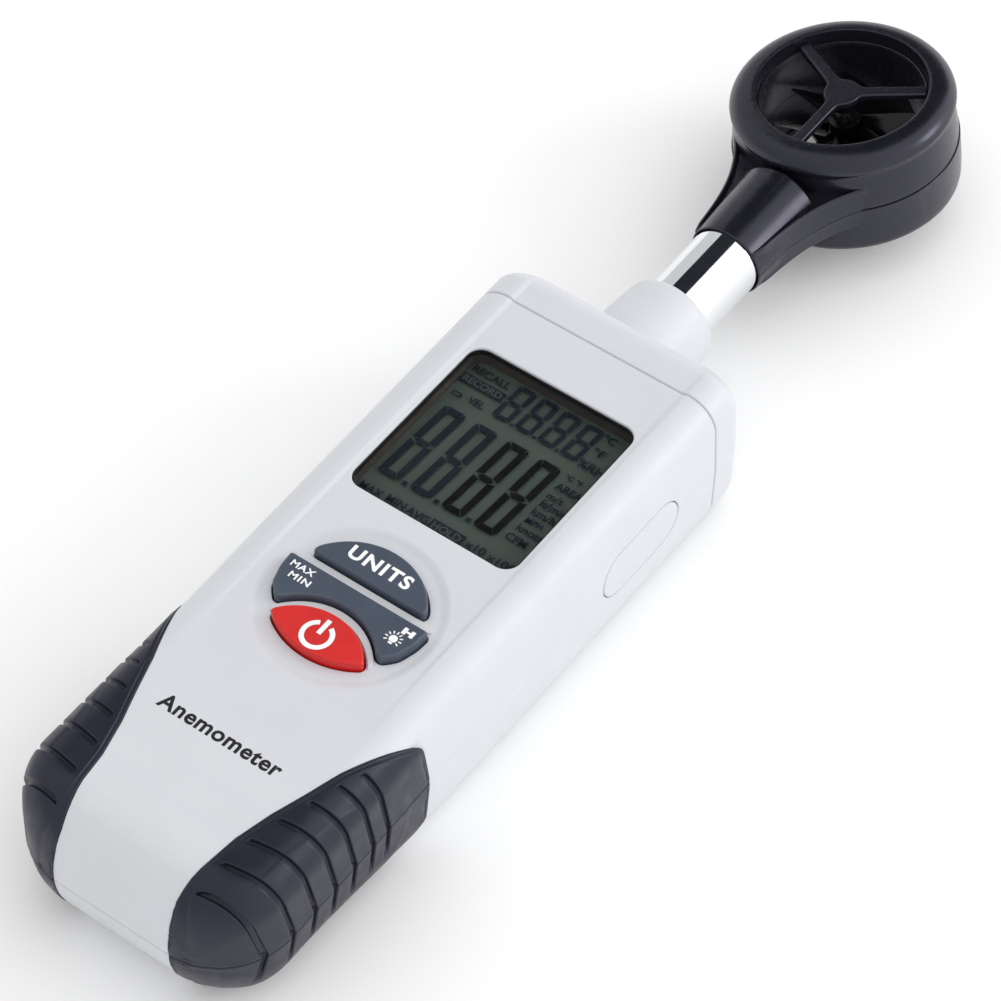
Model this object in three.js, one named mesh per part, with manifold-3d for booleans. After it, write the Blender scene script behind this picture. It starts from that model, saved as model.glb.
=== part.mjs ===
// Vane anemometer: a hand-held body with a display and a keypad, and a vane head on a chromed tube.
// Millimetres, +Z up. The body lies on its back at z = 0, +Y runs from the handle to the head, and the
// origin is under the middle of the whole instrument.
import * as THREE from "three";
import { mergeVertices } from "three/addons/utils/BufferGeometryUtils.js";
import Module from "manifold-3d";

const wasm = await Module();
wasm.setup();

// ---- driving dimensions ----------------------------------------------------------------------
const WAIST = { halfWidth: 23.9, y: -62, flare: 0.0062 }; // narrowest place, and growth per mm from it
const WALL_DRAFT = 0.3; // the side walls lean in this much from the parting line to a corner
const FRONT_Z = 28.5; // middle of the front face
const SHOULDER = 0.4; // the front's side shoulders stand this much above its middle
const PARTING_Z = 14.1; // plane between front and rear case
const FRONT_RADIUS = 6; // long corners of the front
const REAR_RADIUS = { body: 5, handle: 10.4, y0: -96, y1: -56 }; // long corners of the back
const HANDLE_END_Y = -111.45; // far end of the handle
const PLAN_RADIUS = 13.8; // handle corners seen from the front
const END_ROUND = 10.3; // length over which the handle end curves down
const SEAM_Y = 15.2; // joint between case and end cap
const CAP_END_Y = 24.5; // flat end face of the cap
const CAP_ROUND = 5; // round between the cap's sides and its end face
const WALL = 2.4; // moulded wall of the case
const GAP = 0.3; // clearance between neighbouring pieces

const WINDOW = { width: 33, height: 35.7, y: -13.65, radius: 2.8, recess: 0.3 };
const WINDOW_FLANGE = { grow: 1.9, thickness: 0.8, radius: 2 };
const LCD = { halfWidth: 18, y0: -34, y1: 6.6, z0: 23.6, z1: 24.8 };
const LCD_BACK = { y0: -30.4, y1: 6.4, z1: 23.3 }; // light guide behind the glass
const LCD_STRIP = { halfWidth: 17, y0: -33.6, y1: -31.2 }; // contact strip beside the guide
const BOARD = { halfWidth: 19.6, y0: -66, y1: 7, z0: 20, thickness: 1.6 };
const BATTERY = { width: 26.5, length: 48.5, height: 17.5, y0: -73, z0: 2.1 };
const DOOR = { halfWidth: 15.5, y0: -76.5, y1: -19, thickness: 1.65, notch: 4.6 };

const KEY_TOP = FRONT_Z + 1.3;
const KEY_BOTTOM = 24.1;
const KEY_FLANGE = { grow: 0.5, height: 1.1 };
const MAT = { top: 22.2, domeTop: 22.6 }; // keypad mat, and the tops of its domes under the keys
const DISH = { y: -51.6, across: 16.3, along: 16.3, depth: 0.5 }; // shallow hollow round the keys

const GRIP_PROUD = 0.4; // rubber grips stand above the case
const GRIP_DEPTH = 1.2; // and sink this far into it
const GROOVE = { depth: 0.8, width: 1.25, slope: 0.42 };

const TUBE = { radius: 6.6, bore: 5.6, z: 15.5, y0: 13, y1: 60.4 };
const COLLAR = { y1: 37.8, baseRadius: 9.35, endRadius: 8.6, round: 1.9 };
const NUT = { y0: 17.6, y1: 21.7, flats: 8.2 };
const SWIVEL_HALF_RANGE = 15; // degrees each way from straight
const STOP_ANGLE = 18; // between a stop's middle and the key tab's middle when they meet, degrees
const SWIVEL_REST = -8.2; // degrees about +Y at which the head stands

const HEAD_Y = 91.15; // centre of the vane ring
const SOCKET_Y = 53.5; // open end of the head's neck
const RING = { outer: 20.3, bore: 14.85, top: 11.2, bottom: -10.2, cavity: [16.3, 18.2] };
const SPOKE = { count: 3, width: 2.3, thickness: 1.3, recess: 1.2 };
const GUARD_HUB = 3.4;
const ROTOR = { radius: 13.5, hub: 2.9, halfHeight: 3.9, blades: 8, thickness: 0.5 };
const SHAFT_RADIUS = 0.5;

const CASE_SCREW = { head: 2.6, z0: 0.9, seat: 3.1, shank: 1.35, tipZ: 22, cross: 1.4, slot: 0.35 };
const CASE_BOSS = { front: 2.8, rear: 3.8, pocket: 3, pocketZ: 3.4, pilot: 1.7, bottomZ: 23.5 };
const HEAD_SCREW = { head: 1.75, z0: -4.6, seat: -2.9, shank: 0.85, tipZ: 2.7, slot: 0.3 };
const HEAD_BOSS = { pocket: 2.05, pocketZ: -2.6, pilot: 1.15, depth: 3 };
const CRADLE = { clear: 0.7, rib: 1.4, endRib: 1.2, z0: 1, z1: 11, past: 5.2 }; // ribs round the battery
const TONGUE = { halfWidth: 8.5, z0: 0.85, reach: 3 }; // of the battery door
const FINGER_GRIP = { count: 5, first: 4, pitch: 2, halfWidth: 7, depth: 0.5 };
const O_RING = { y: 30.7, halfLength: 0.85, halfHeight: 0.55, groove: [29.6, 31.8], grooveDepth: 1.5 };
const STOP = { width: 2.8, length: 4.6, reach: 10.9, y: 20.1 }; // swivel stops inside the cap
const KEY_TAB = { halfWidth: 1.6, reach: 11.6 }; // on the tube nut, between the stops
const DOME = { foot: 2.6, top: 1.8 };
const STEM = { z0: 23.6, radius: 1.6 };
const PIN = { x: 6.3, radius: 2.9, length: 3 }; // battery terminals
const SNAP = { halfWidth: 12.5, thickness: 2, z0: 4, z1: 17 };
const LEAD = { x: 5, radius: 0.65, fromPins: 3.3 };
const CABLE = { radius: 1.6, y0: 5.5, y1: 60.6 };
const MAGNET = { radius: 1.8, height: 1.2, pocket: 2.1, pocketDepth: 1.6 };
const BEARING = { cup: 1.15, seat: 1.45, boss: 2.2, bossDepth: 2.4 };
const SADDLE = { open: 7.05, end: 7.9, endY: -20.6 };

const COLOURS = {
  shell: { color: 0xe4e7ea, roughness: 0.45, metalness: 0 },
  rubber: { color: 0x23262f, roughness: 0.6, metalness: 0 },
  black: { color: 0x17181a, roughness: 0.4, metalness: 0 },
  vane: { color: 0x0c0c0d, roughness: 0.15, metalness: 0 },
  chrome: { color: 0xd8dadc, roughness: 0.08, metalness: 1 },
  steel: { color: 0x9a9c9f, roughness: 0.3, metalness: 1 },
  brass: { color: 0xb8974c, roughness: 0.3, metalness: 1 },
  greyKey: { color: 0x4b5360, roughness: 0.5, metalness: 0 },
  redKey: { color: 0xd0281f, roughness: 0.45, metalness: 0 },
  window: { color: 0xbfc6c4, roughness: 0.05, metalness: 0 },
  glass: { color: 0x59635c, roughness: 0.2, metalness: 0 },
  guide: { color: 0xf2f4f4, roughness: 0.4, metalness: 0 },
  board: { color: 0x1d5a35, roughness: 0.5, metalness: 0 },
  silicone: { color: 0x9da3a8, roughness: 0.7, metalness: 0 },
  battery: { color: 0x35383c, roughness: 0.35, metalness: 0.3 },
  redLead: { color: 0xb01c1c, roughness: 0.5, metalness: 0 },
};

// ---- geometry helpers ------------------------------------------------------------------------
const radians = THREE.MathUtils.degToRad;

function solidOf(geometry) {
  const bare = geometry.index ? geometry.toNonIndexed() : geometry.clone();
  bare.deleteAttribute("normal");
  bare.deleteAttribute("uv");
  const merged = mergeVertices(bare, 1e-4);
  return new wasm.Manifold(
    new wasm.Mesh({
      numProp: 3,
      vertProperties: merged.attributes.position.array,
      triVerts: new Uint32Array(merged.index.array),
    }),
  );
}

function geometryOf(solid) {
  const mesh = solid.getMesh();
  return new THREE.BufferGeometry()
    .setAttribute("position", new THREE.BufferAttribute(mesh.vertProperties, 3))
    .setIndex(new THREE.BufferAttribute(mesh.triVerts, 1));
}

function box(x0, x1, y0, y1, z0, z1) {
  const geometry = new THREE.BoxGeometry(x1 - x0, y1 - y0, z1 - z0);
  return solidOf(geometry.translate((x0 + x1) / 2, (y0 + y1) / 2, (z0 + z1) / 2));
}

// A cylinder standing on z0, or a cone when the two radii differ.
function post(x, y, z0, z1, radius, sides = 20, topRadius = radius) {
  const geometry = new THREE.CylinderGeometry(topRadius, radius, z1 - z0, sides);
  return solidOf(geometry.rotateX(Math.PI / 2).translate(x, y, (z0 + z1) / 2));
}

// A solid of revolution about the line x = 0, z = z, from [radius, y] points listed from low to high y.
function turned(profile, z, sides = 32) {
  const points = profile.map(([radius, y]) => new THREE.Vector2(radius, y));
  return solidOf(new THREE.LatheGeometry(points, sides).translate(0, 0, z));
}

// The same about +Z, from [radius, z] points.
function spun(profile, sides = 48) {
  const points = profile.map(([radius, z]) => new THREE.Vector2(radius, z));
  return solidOf(new THREE.LatheGeometry(points, sides).rotateX(Math.PI / 2));
}

function prism(shape, z0, z1, curveSegments = 8) {
  const options = { depth: z1 - z0, bevelEnabled: false, curveSegments };
  return solidOf(new THREE.ExtrudeGeometry(shape, options).translate(0, 0, z0));
}

function roundedRectangle(halfWidth, y0, y1, radius) {
  const shape = new THREE.Shape();
  const w = halfWidth - radius;
  shape.absarc(w, y0 + radius, radius, -Math.PI / 2, 0);
  shape.absarc(w, y1 - radius, radius, 0, Math.PI / 2);
  shape.absarc(-w, y1 - radius, radius, Math.PI / 2, Math.PI);
  shape.absarc(-w, y0 + radius, radius, Math.PI, 1.5 * Math.PI);
  return shape;
}

// A closed skin through rings of equal length, with a fan over each end ring.
function loft(rings) {
  const count = rings[0].length;
  const points = rings.flat();
  const middle = (ring) => {
    const sum = new THREE.Vector3();
    ring.forEach((point) => sum.add(point));
    return sum.divideScalar(count);
  };
  points.push(middle(rings[0]), middle(rings[rings.length - 1]));
  const first = points.length - 2;
  const index = [];
  for (let j = 0; j < count; j++) {
    const next = (j + 1) % count;
    for (let i = 0; i + 1 < rings.length; i++) {
      const a = i * count + j;
      const b = i * count + next;
      index.push(a, a + count, b, b, a + count, b + count);
    }
    const last = (rings.length - 1) * count;
    index.push(first, j, next, first + 1, last + next, last + j);
  }
  return solidOf(new THREE.BufferGeometry().setFromPoints(points).setIndex(index));
}

const union = (...solids) => solids.reduce((whole, piece) => whole.add(piece));

const root = new THREE.Group();

function addMesh(group, name, solid, finish) {
  const material = new THREE.MeshStandardMaterial(COLOURS[finish]);
  const mesh = new THREE.Mesh(geometryOf(solid), material);
  mesh.name = name;
  group.add(mesh);
}

// ---- outer shape of the body -----------------------------------------------------------------
const fade = (y, from, to) => THREE.MathUtils.smoothstep(y, from, to);

// Half width, front height and rear height of the body at y, grown outwards by grow.
function bodySize(y, grow) {
  const cornerY = HANDLE_END_Y + PLAN_RADIUS;
  const roundY = HANDLE_END_Y + END_ROUND;
  const capY = CAP_END_Y - CAP_ROUND;
  let halfWidth = WAIST.halfWidth + grow + WAIST.flare * Math.abs(Math.max(y, cornerY) - WAIST.y);
  let front = FRONT_Z - PARTING_Z + grow;
  let rear = PARTING_Z + grow;
  if (y < cornerY) {
    const radius = PLAN_RADIUS + grow;
    halfWidth += Math.sqrt(Math.max(radius ** 2 - (cornerY - y) ** 2, 0)) - radius;
  }
  if (y < roundY) {
    const drop = Math.sqrt(Math.max(1 - ((roundY - y) / (END_ROUND + grow)) ** 2, 0));
    front *= drop;
    rear *= drop;
  }
  if (y > capY) {
    const radius = CAP_ROUND + grow;
    const loss = radius - Math.sqrt(Math.max(radius ** 2 - (y - capY) ** 2, 0));
    halfWidth -= loss;
    front -= loss;
    rear -= loss;
  }
  return { halfWidth, front, rear };
}

// The back's long corners grow rounder towards the handle end, where the palm closes round them.
function rearRadiusAt(y) {
  const { body, handle, y0, y1 } = REAR_RADIUS;
  return handle + (body - handle) * fade(y, y0, y1);
}

// One closed section of the body at y, counter-clockwise seen from -Y.
function bodySection(y, grow) {
  const { halfWidth, front, rear } = bodySize(y, grow);
  const frontRadius = Math.min(FRONT_RADIUS + grow, 0.85 * front);
  const rearRadius = Math.min(rearRadiusAt(y) + grow, 0.85 * rear);
  const shoulder = grow < 0 ? 0 : SHOULDER * fade(y, -75, -40) * (1 - fade(y, 19, 23));
  const half = [new THREE.Vector3(halfWidth, y, PARTING_Z)];
  const steps = 4;
  for (let i = 0; i <= steps; i++) {
    const angle = (i / steps) * (Math.PI / 2);
    const x = halfWidth - WALL_DRAFT - frontRadius * (1 - Math.cos(angle));
    const z = PARTING_Z + front + shoulder - frontRadius * (1 - Math.sin(angle));
    half.push(new THREE.Vector3(x, y, z));
  }
  const top = half[half.length - 1];
  half.push(new THREE.Vector3(Math.min(16.8, top.x - 0.2), y, top.z));
  half.push(new THREE.Vector3(Math.min(15, top.x - 0.6), y, top.z - shoulder));
  const lower = [];
  for (let i = steps; i >= 0; i--) {
    const angle = (i / steps) * (Math.PI / 2);
    const x = halfWidth - WALL_DRAFT - rearRadius * (1 - Math.cos(angle));
    lower.push(new THREE.Vector3(x, y, PARTING_Z - rear + rearRadius * (1 - Math.sin(angle))));
  }
  const right = [...lower, ...half];
  const left = right.map((p) => new THREE.Vector3(-p.x, y, p.z)).reverse();
  return [...right, ...left];
}

// The body's outer shape grown by grow, from the handle end up to y1.
function bodySolid(grow, y1) {
  const stations = [];
  const roundY = HANDLE_END_Y + END_ROUND;
  for (const angle of [84, 66, 46, 25, 0]) {
    stations.push(roundY - (END_ROUND + grow) * Math.sin(radians(angle)));
  }
  stations.push(HANDLE_END_Y + PLAN_RADIUS);
  for (const y of [-88, -79, -70, -62, -40, CAP_END_Y - CAP_ROUND]) {
    if (y < y1 - 1) stations.push(y);
  }
  if (y1 > CAP_END_Y - CAP_ROUND) {
    const radius = y1 - (CAP_END_Y - CAP_ROUND);
    for (const angle of [30, 60]) {
      stations.push(CAP_END_Y - CAP_ROUND + radius * Math.sin(radians(angle)));
    }
  }
  stations.push(y1);
  return loft(stations.map((y) => bodySection(y, grow)));
}

const FAR = 60;
const outer = bodySolid(0, SEAM_Y - GAP / 2);
const hollow = bodySolid(-WALL, FAR / 2).intersect(box(-FAR, FAR, -150, SEAM_Y + 1, -5, 50));
const aboveParting = box(-FAR, FAR, -150, FAR, PARTING_Z + GAP / 2, 50);
const belowParting = box(-FAR, FAR, -150, FAR, 0, PARTING_Z - GAP / 2);

// ---- key outlines ----------------------------------------------------------------------------
const mirrored = (points) => points.map(([x, y]) => [-x, y]).reverse();

function outline(points) {
  const vectors = points.map(([x, y]) => new THREE.Vector2(x, y));
  return new THREE.Shape(vectors);
}

function arcPoints(halfChord, y, rise, steps) {
  const radius = (halfChord ** 2 + rise ** 2) / (2 * rise);
  const half = Math.asin(Math.min(halfChord / Math.abs(radius), 1));
  const centre = y + rise - radius;
  return Array.from({ length: steps + 1 }, (_, i) => {
    const angle = half * (1 - (2 * i) / steps);
    return [Math.abs(radius) * Math.sin(angle), centre + radius * Math.cos(angle)];
  });
}

const UNITS_KEY = { y: -46.75, halfWidth: 11, side: 1.1, rise: 6.2 };
const MODE_KEY = {
  y: -48.9,
  halfWidth: 13.5,
  side: [12.3, -55.1],
  tip: [10.5, -57.3],
  innerX: 9.4,
  rise: 4.4,
};
const POWER_KEY = { y: -59.75, halfWidth: 9.3, upper: 5, lower: 3.2 };

function unitsOutline(grow) {
  const { y, halfWidth, side, rise } = UNITS_KEY;
  const arc = arcPoints(halfWidth + grow, y + side, rise + grow, 12);
  return outline([[-(halfWidth + grow), y - grow], [halfWidth + grow, y - grow], ...arc]);
}

function modeOutline(grow) {
  const { y, halfWidth, side, tip, innerX, rise } = MODE_KEY;
  const inner = arcPoints(innerX - grow, tip[1] + 0.3, rise - grow, 12);
  const right = [
    [tip[0] + 0.4 * grow, tip[1] - grow],
    [side[0] + grow, side[1] - 0.4 * grow],
    [halfWidth + grow, y + grow],
  ];
  return outline([...right, ...mirrored(right), ...inner.reverse()]);
}

function powerOutline(grow) {
  const { y, halfWidth, upper, lower } = POWER_KEY;
  const top = arcPoints(halfWidth + grow, y, upper + grow, 12);
  const bottom = arcPoints(halfWidth + grow, y, lower + grow, 12).map(([x, v]) => [-x, 2 * y - v]);
  return outline([...top, ...bottom.slice(1, -1)]);
}

// ---- rubber grips ----------------------------------------------------------------------------
const GRIP_EDGE = [
  [24.6, -64.2],
  [21.1, -72],
  [16.6, -86],
  [13.2, -100.5],
  [11.6, -112.5],
];

// Plan of the right grips: everything outside the curved inner edge.
function gripPlan(grow) {
  const edge = GRIP_EDGE.map(([x, y]) => new THREE.Vector2(x - grow, y + grow));
  const shape = new THREE.Shape();
  shape.moveTo(30, -120);
  shape.lineTo(30, -62 + grow);
  shape.lineTo(25.2, -62 + grow);
  shape.lineTo(edge[0].x, edge[0].y);
  shape.splineThru(edge.slice(1));
  shape.lineTo(edge[edge.length - 1].x, -120);
  return shape;
}

// Seven slanting grooves across the right grips, as slabs cut down to a fixed depth.
function gripGrooves() {
  const ends = [
    [21.7, -74.7],
    [20.4, -79.5],
    [19.1, -84.2],
    [17.7, -89.6],
    [16.5, -95.2],
    [15.1, -101],
    [13.9, -107],
  ];
  const slabs = ends.map(([x, y]) => {
    const length = 30 - x;
    const slab = new THREE.BoxGeometry(length, GROOVE.width, 60).translate(length / 2, 0, 0);
    slab.rotateZ(Math.atan(GROOVE.slope)).translate(x, y, PARTING_Z);
    return solidOf(slab);
  });
  return union(...slabs).subtract(bodySolid(GRIP_PROUD - GROOVE.depth, -30));
}

function mirrorX(solid) {
  return solid.mirror([1, 0, 0]);
}

const gripSkin = bodySolid(GRIP_PROUD, -50).subtract(bodySolid(-GRIP_DEPTH + GAP, -45));
const rightGrip = gripSkin.intersect(prism(gripPlan(0), -10, 50, 3)).subtract(gripGrooves());
const gripPocket = prism(gripPlan(GAP), -10, 50, 3).subtract(bodySolid(-GRIP_DEPTH, -40));
const gripPockets = gripPocket.add(mirrorX(gripPocket));

// ---- front case ------------------------------------------------------------------------------
const SCREWS = [
  [-18, 10.2],
  [18, 10.2],
  [-8.6, -98],
  [8.6, -98],
];

// Oval opening for a side plug, on the parting line of the right wall.
const PLUG = { y: -5.9, halfLength: 10.35, halfHeight: 4.8 };

function plugSolid(grow, x0, x1) {
  const straight = PLUG.halfLength - PLUG.halfHeight;
  const shape = new THREE.Shape();
  const radius = PLUG.halfHeight + grow;
  shape.absarc(PLUG.y + straight, 0, radius, -Math.PI / 2, Math.PI / 2);
  shape.absarc(PLUG.y - straight, 0, radius, Math.PI / 2, 1.5 * Math.PI);
  const options = { depth: x1 - x0, bevelEnabled: false, curveSegments: 10 };
  const plate = new THREE.ExtrudeGeometry(shape, options);
  const turn = new THREE.Matrix4().makeBasis(
    new THREE.Vector3(0, 1, 0),
    new THREE.Vector3(0, 0, 1),
    new THREE.Vector3(1, 0, 0),
  );
  return solidOf(plate.applyMatrix4(turn).translate(x0, 0, PARTING_Z));
}

const plugHole = plugSolid(GAP, 20, 30);

function frontCase() {
  const { width, height, y, radius } = WINDOW;
  const opening = roundedRectangle(width / 2, y - height / 2, y + height / 2, radius);
  const dish = spun(
    [
      [0, 0],
      [0.6, 0.05],
      [1.1, 1.4],
      [0, 1.4],
    ],
    20,
  ).scale([DISH.across, DISH.along, DISH.depth]);
  let shell = outer.subtract(hollow).intersect(aboveParting);
  for (const [x, sy] of SCREWS) {
    const boss = post(x, sy, PARTING_Z + GAP / 2, FRONT_Z - 1, CASE_BOSS.front, 16);
    shell = shell.add(boss.intersect(outer));
    shell = shell.subtract(post(x, sy, 0, CASE_BOSS.bottomZ, CASE_BOSS.pilot, 12));
  }
  return shell
    .subtract(prism(opening, 20, 40, 5))
    .subtract(dish.translate([0, DISH.y, FRONT_Z - DISH.depth]))
    .subtract(prism(unitsOutline(GAP), 20, 40))
    .subtract(prism(modeOutline(GAP), 20, 40))
    .subtract(prism(powerOutline(GAP), 20, 40))
    .subtract(gripPockets)
    .subtract(plugHole.add(mirrorX(plugHole)));
}

// ---- rear case and battery door --------------------------------------------------------------
function rearCase() {
  const { halfWidth, y0, y1, thickness, notch } = DOOR;
  const cradle = BATTERY.width / 2 + CRADLE.clear;
  const top = BATTERY.y0 + BATTERY.length + CRADLE.past;
  const { z0, z1 } = CRADLE;
  let shell = outer.subtract(hollow).intersect(belowParting);
  for (const side of [-1, 1]) {
    const inner = side * cradle;
    const outerX = side * (cradle + CRADLE.rib);
    shell = shell.add(box(Math.min(inner, outerX), Math.max(inner, outerX), y0, top, z0, z1));
  }
  shell = shell.add(box(-cradle, cradle, top - CRADLE.endRib, top, z0, z1));
  for (const [x, y] of SCREWS) {
    shell = shell.add(post(x, y, 0, PARTING_Z - GAP / 2, CASE_BOSS.rear, 20).intersect(outer));
    shell = shell.subtract(post(x, y, -1, CASE_BOSS.pocketZ, CASE_BOSS.pocket, 20));
    shell = shell.subtract(post(x, y, 0, 20, CASE_BOSS.pilot, 12));
  }
  const clear = halfWidth + GAP;
  const doorway = box(-cradle + 0.01, cradle - 0.01, y0 + 2, y1 - 4, -1, 6);
  const doorSeat = box(-clear, clear, y0 - notch, y1 + GAP, -1, thickness + GAP);
  const slotWidth = TONGUE.halfWidth + GAP;
  const slotEnd = y1 + TONGUE.reach + GAP;
  const tongueSlot = box(-slotWidth, slotWidth, y1 - 1, slotEnd, TONGUE.z0 - GAP, thickness + GAP);
  return shell
    .subtract(doorSeat)
    .subtract(doorway)
    .subtract(tongueSlot)
    .subtract(gripPockets)
    .subtract(plugHole.add(mirrorX(plugHole)));
}

function batteryDoor() {
  const { halfWidth, y0, y1, thickness } = DOOR;
  const plate = prism(roundedRectangle(halfWidth, y0, y1, 1.2), 0, thickness, 3);
  const tongueWidth = TONGUE.halfWidth;
  const tongue = box(-tongueWidth, tongueWidth, y1 - 1, y1 + TONGUE.reach, TONGUE.z0, thickness - 0.1);
  let door = plate.add(tongue);
  const { count, first, pitch, halfWidth: longest, depth } = FINGER_GRIP;
  for (let i = 0; i < count; i++) {
    const y = y0 + first + i * pitch;
    door = door.subtract(box(i - longest, longest - i, y, y + pitch / 2, -1, depth));
  }
  return door;
}

// ---- end cap ---------------------------------------------------------------------------------
function endCap() {
  const whole = bodySolid(0, CAP_END_Y).intersect(box(-FAR, FAR, SEAM_Y + GAP / 2, FAR, -5, 50));
  const inside = bodySolid(-WALL, CAP_END_Y - WALL);
  const { y1, baseRadius, endRadius, round } = COLLAR;
  const collarProfile = [
    [0, CAP_END_Y - 1],
    [baseRadius, CAP_END_Y - 1],
    [endRadius, y1 - round],
    [endRadius - 0.3 * round, y1 - 0.3 * round],
    [endRadius - 0.75 * round, y1],
    [0, y1],
  ];
  const tongue = bodySolid(-WALL - GAP, 19).intersect(box(-FAR, FAR, 14.3, 17, -5, 50));
  const step = bodySolid(-WALL + 0.1, 19).intersect(box(-FAR, FAR, SEAM_Y + GAP / 2, 17, -5, 50));
  const spigot = tongue.add(step).subtract(bodySolid(-WALL - GAP - 1.1, 19));
  const bore = TUBE.radius + GAP;
  let cap = whole.subtract(inside).add(spigot).add(turned(collarProfile, TUBE.z, 28));
  cap = cap.subtract(turned([[0, 10], [bore, 10], [bore, 50], [0, 50]], TUBE.z));
  const [groove0, groove1] = O_RING.groove;
  const floor = TUBE.radius + O_RING.grooveDepth;
  cap = cap.subtract(turned([[0, groove0], [floor, groove0], [floor, groove1], [0, groove1]], TUBE.z));
  for (const side of [-1, 1]) {
    const { width, length, reach } = STOP;
    const stop = new THREE.BoxGeometry(width, length, width).translate(0, 0, -reach);
    stop.rotateY(radians(side * (SWIVEL_HALF_RANGE + STOP_ANGLE)));
    cap = cap.add(solidOf(stop.translate(0, STOP.y, TUBE.z)));
  }
  return cap;
}

function frictionRing() {
  const middle = TUBE.radius + 0.8;
  const points = [];
  for (let i = 0; i <= 6; i++) {
    const angle = (i / 6) * 2 * Math.PI;
    const radius = middle + O_RING.halfHeight * Math.sin(angle);
    points.push([radius, O_RING.y - O_RING.halfLength * Math.cos(angle)]);
  }
  return turned(points, TUBE.z, 16);
}

// ---- display stack, board and keys -----------------------------------------------------------
function displayWindow() {
  const { width, height, y, radius, recess } = WINDOW;
  const { grow, thickness, radius: flangeRadius } = WINDOW_FLANGE;
  const w = width / 2 - GAP;
  const h = height / 2 - GAP;
  const flangeTop = FRONT_Z - WALL - GAP;
  const lens = roundedRectangle(w, y - h, y + h, radius - GAP);
  const edge = height / 2 + grow;
  const flange = roundedRectangle(width / 2 + grow, y - edge, y + edge, flangeRadius);
  const plate = prism(flange, flangeTop - thickness, flangeTop, 3);
  return prism(lens, flangeTop - 0.1, FRONT_Z - recess, 5).add(plate);
}

function keyCap(shapeAt, foot) {
  const flangeTop = KEY_BOTTOM + KEY_FLANGE.height;
  const body = prism(shapeAt(0), KEY_BOTTOM, KEY_TOP - 0.45);
  const crown = prism(shapeAt(-0.4), KEY_TOP - 0.6, KEY_TOP);
  const flange = prism(shapeAt(KEY_FLANGE.grow), KEY_BOTTOM, flangeTop);
  return union(body, crown, flange, ...foot);
}

function keypadMat() {
  const [z0, top] = [BOARD.z0 + BOARD.thickness + GAP / 2, MAT.top];
  let mat = prism(roundedRectangle(17, -65, -35.5, 2), z0, top, 2);
  for (const [x, y] of KEY_SPOTS) {
    mat = mat.add(post(x, y, top - 0.1, MAT.domeTop, DOME.foot, 10, DOME.top));
  }
  return mat;
}

const KEY_SPOTS = [
  [0, -44],
  [-10.9, -52.4],
  [10.9, -52.4],
  [0, -59.2],
];

function batterySolid() {
  const { width, length, height, y0, z0 } = BATTERY;
  const body = box(-width / 2, width / 2, y0, y0 + length - 2, z0, z0 + height);
  const [y1, foot, radius] = [y0 + length, y0 + length - PIN.length, PIN.radius];
  const pin = turned([[0, foot], [radius, foot], [radius, y1], [0, y1]], z0 + height / 2, 16);
  return union(body, pin.translate([-PIN.x, 0, 0]), pin.translate([PIN.x, 0, 0]));
}

function lead(x) {
  const y = BATTERY.y0 + BATTERY.length + LEAD.fromPins;
  const path = new THREE.CatmullRomCurve3([
    new THREE.Vector3(x, y, 15.6),
    new THREE.Vector3(x, y + 0.2, 17),
    new THREE.Vector3(x, y + 0.6, 18.4),
    new THREE.Vector3(x, y + 0.7, 19.6),
  ]);
  const section = new THREE.Shape().absarc(0, 0, LEAD.radius, 0, 2 * Math.PI);
  const options = { steps: 4, bevelEnabled: false, extrudePath: path, curveSegments: 4 };
  return solidOf(new THREE.ExtrudeGeometry(section, options));
}

function caseScrew(x, y) {
  const { head, z0, seat, shank, tipZ, cross, slot } = CASE_SCREW;
  const recess = union(
    box(x - cross, x + cross, y - slot, y + slot, 0, z0 + 1),
    box(x - slot, x + slot, y - cross, y + cross, 0, z0 + 1),
  );
  const cap = post(x, y, z0, seat, head, 16);
  return cap.add(post(x, y, seat - 0.1, tipZ, shank, 10)).subtract(recess);
}

// ---- pieces of the body ----------------------------------------------------------------------
const body = new THREE.Group();
root.add(body);
addMesh(body, "front_case", frontCase(), "shell");
addMesh(body, "rear_case", rearCase(), "shell");
addMesh(body, "end_cap", endCap(), "shell");
addMesh(body, "battery_door", batteryDoor(), "shell");

const gripFront = rightGrip.intersect(aboveParting);
const gripRear = rightGrip.intersect(belowParting);
addMesh(body, "front_grip_right", gripFront, "rubber");
addMesh(body, "front_grip_left", mirrorX(gripFront), "rubber");
addMesh(body, "rear_grip_right", gripRear, "rubber");
addMesh(body, "rear_grip_left", mirrorX(gripRear), "rubber");

const plugFace = plugSolid(0, 20, 30).intersect(bodySolid(0, 10));
const plug = plugFace.add(plugSolid(1.2, 20, 21.4)).subtract(bodySolid(-4, 10));
addMesh(body, "side_plug_right", plug, "shell");
addMesh(body, "side_plug_left", mirrorX(plug), "shell");

addMesh(body, "display_window", displayWindow(), "window");
const boardTop = BOARD.z0 + BOARD.thickness;
const lcdGlass = box(-LCD.halfWidth, LCD.halfWidth, LCD.y0, LCD.y1, LCD.z0, LCD.z1);
addMesh(body, "lcd_glass", lcdGlass, "glass");
const [backZ, backTop] = [boardTop + GAP / 2, LCD_BACK.z1];
const guide = box(-LCD.halfWidth + 0.2, LCD.halfWidth - 0.2, LCD_BACK.y0, LCD_BACK.y1, backZ, backTop);
addMesh(body, "backlight_guide", guide, "guide");
const stripWidth = LCD_STRIP.halfWidth;
const strip = box(-stripWidth, stripWidth, LCD_STRIP.y0, LCD_STRIP.y1, backZ, backTop);
addMesh(body, "lcd_connector", strip, "silicone");
const board = box(-BOARD.halfWidth, BOARD.halfWidth, BOARD.y0, BOARD.y1, BOARD.z0, boardTop);
addMesh(body, "main_board", board, "board");
addMesh(body, "controller_chip", box(-6, 6, -16, -4, 18.2, 19.75), "black");
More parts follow.
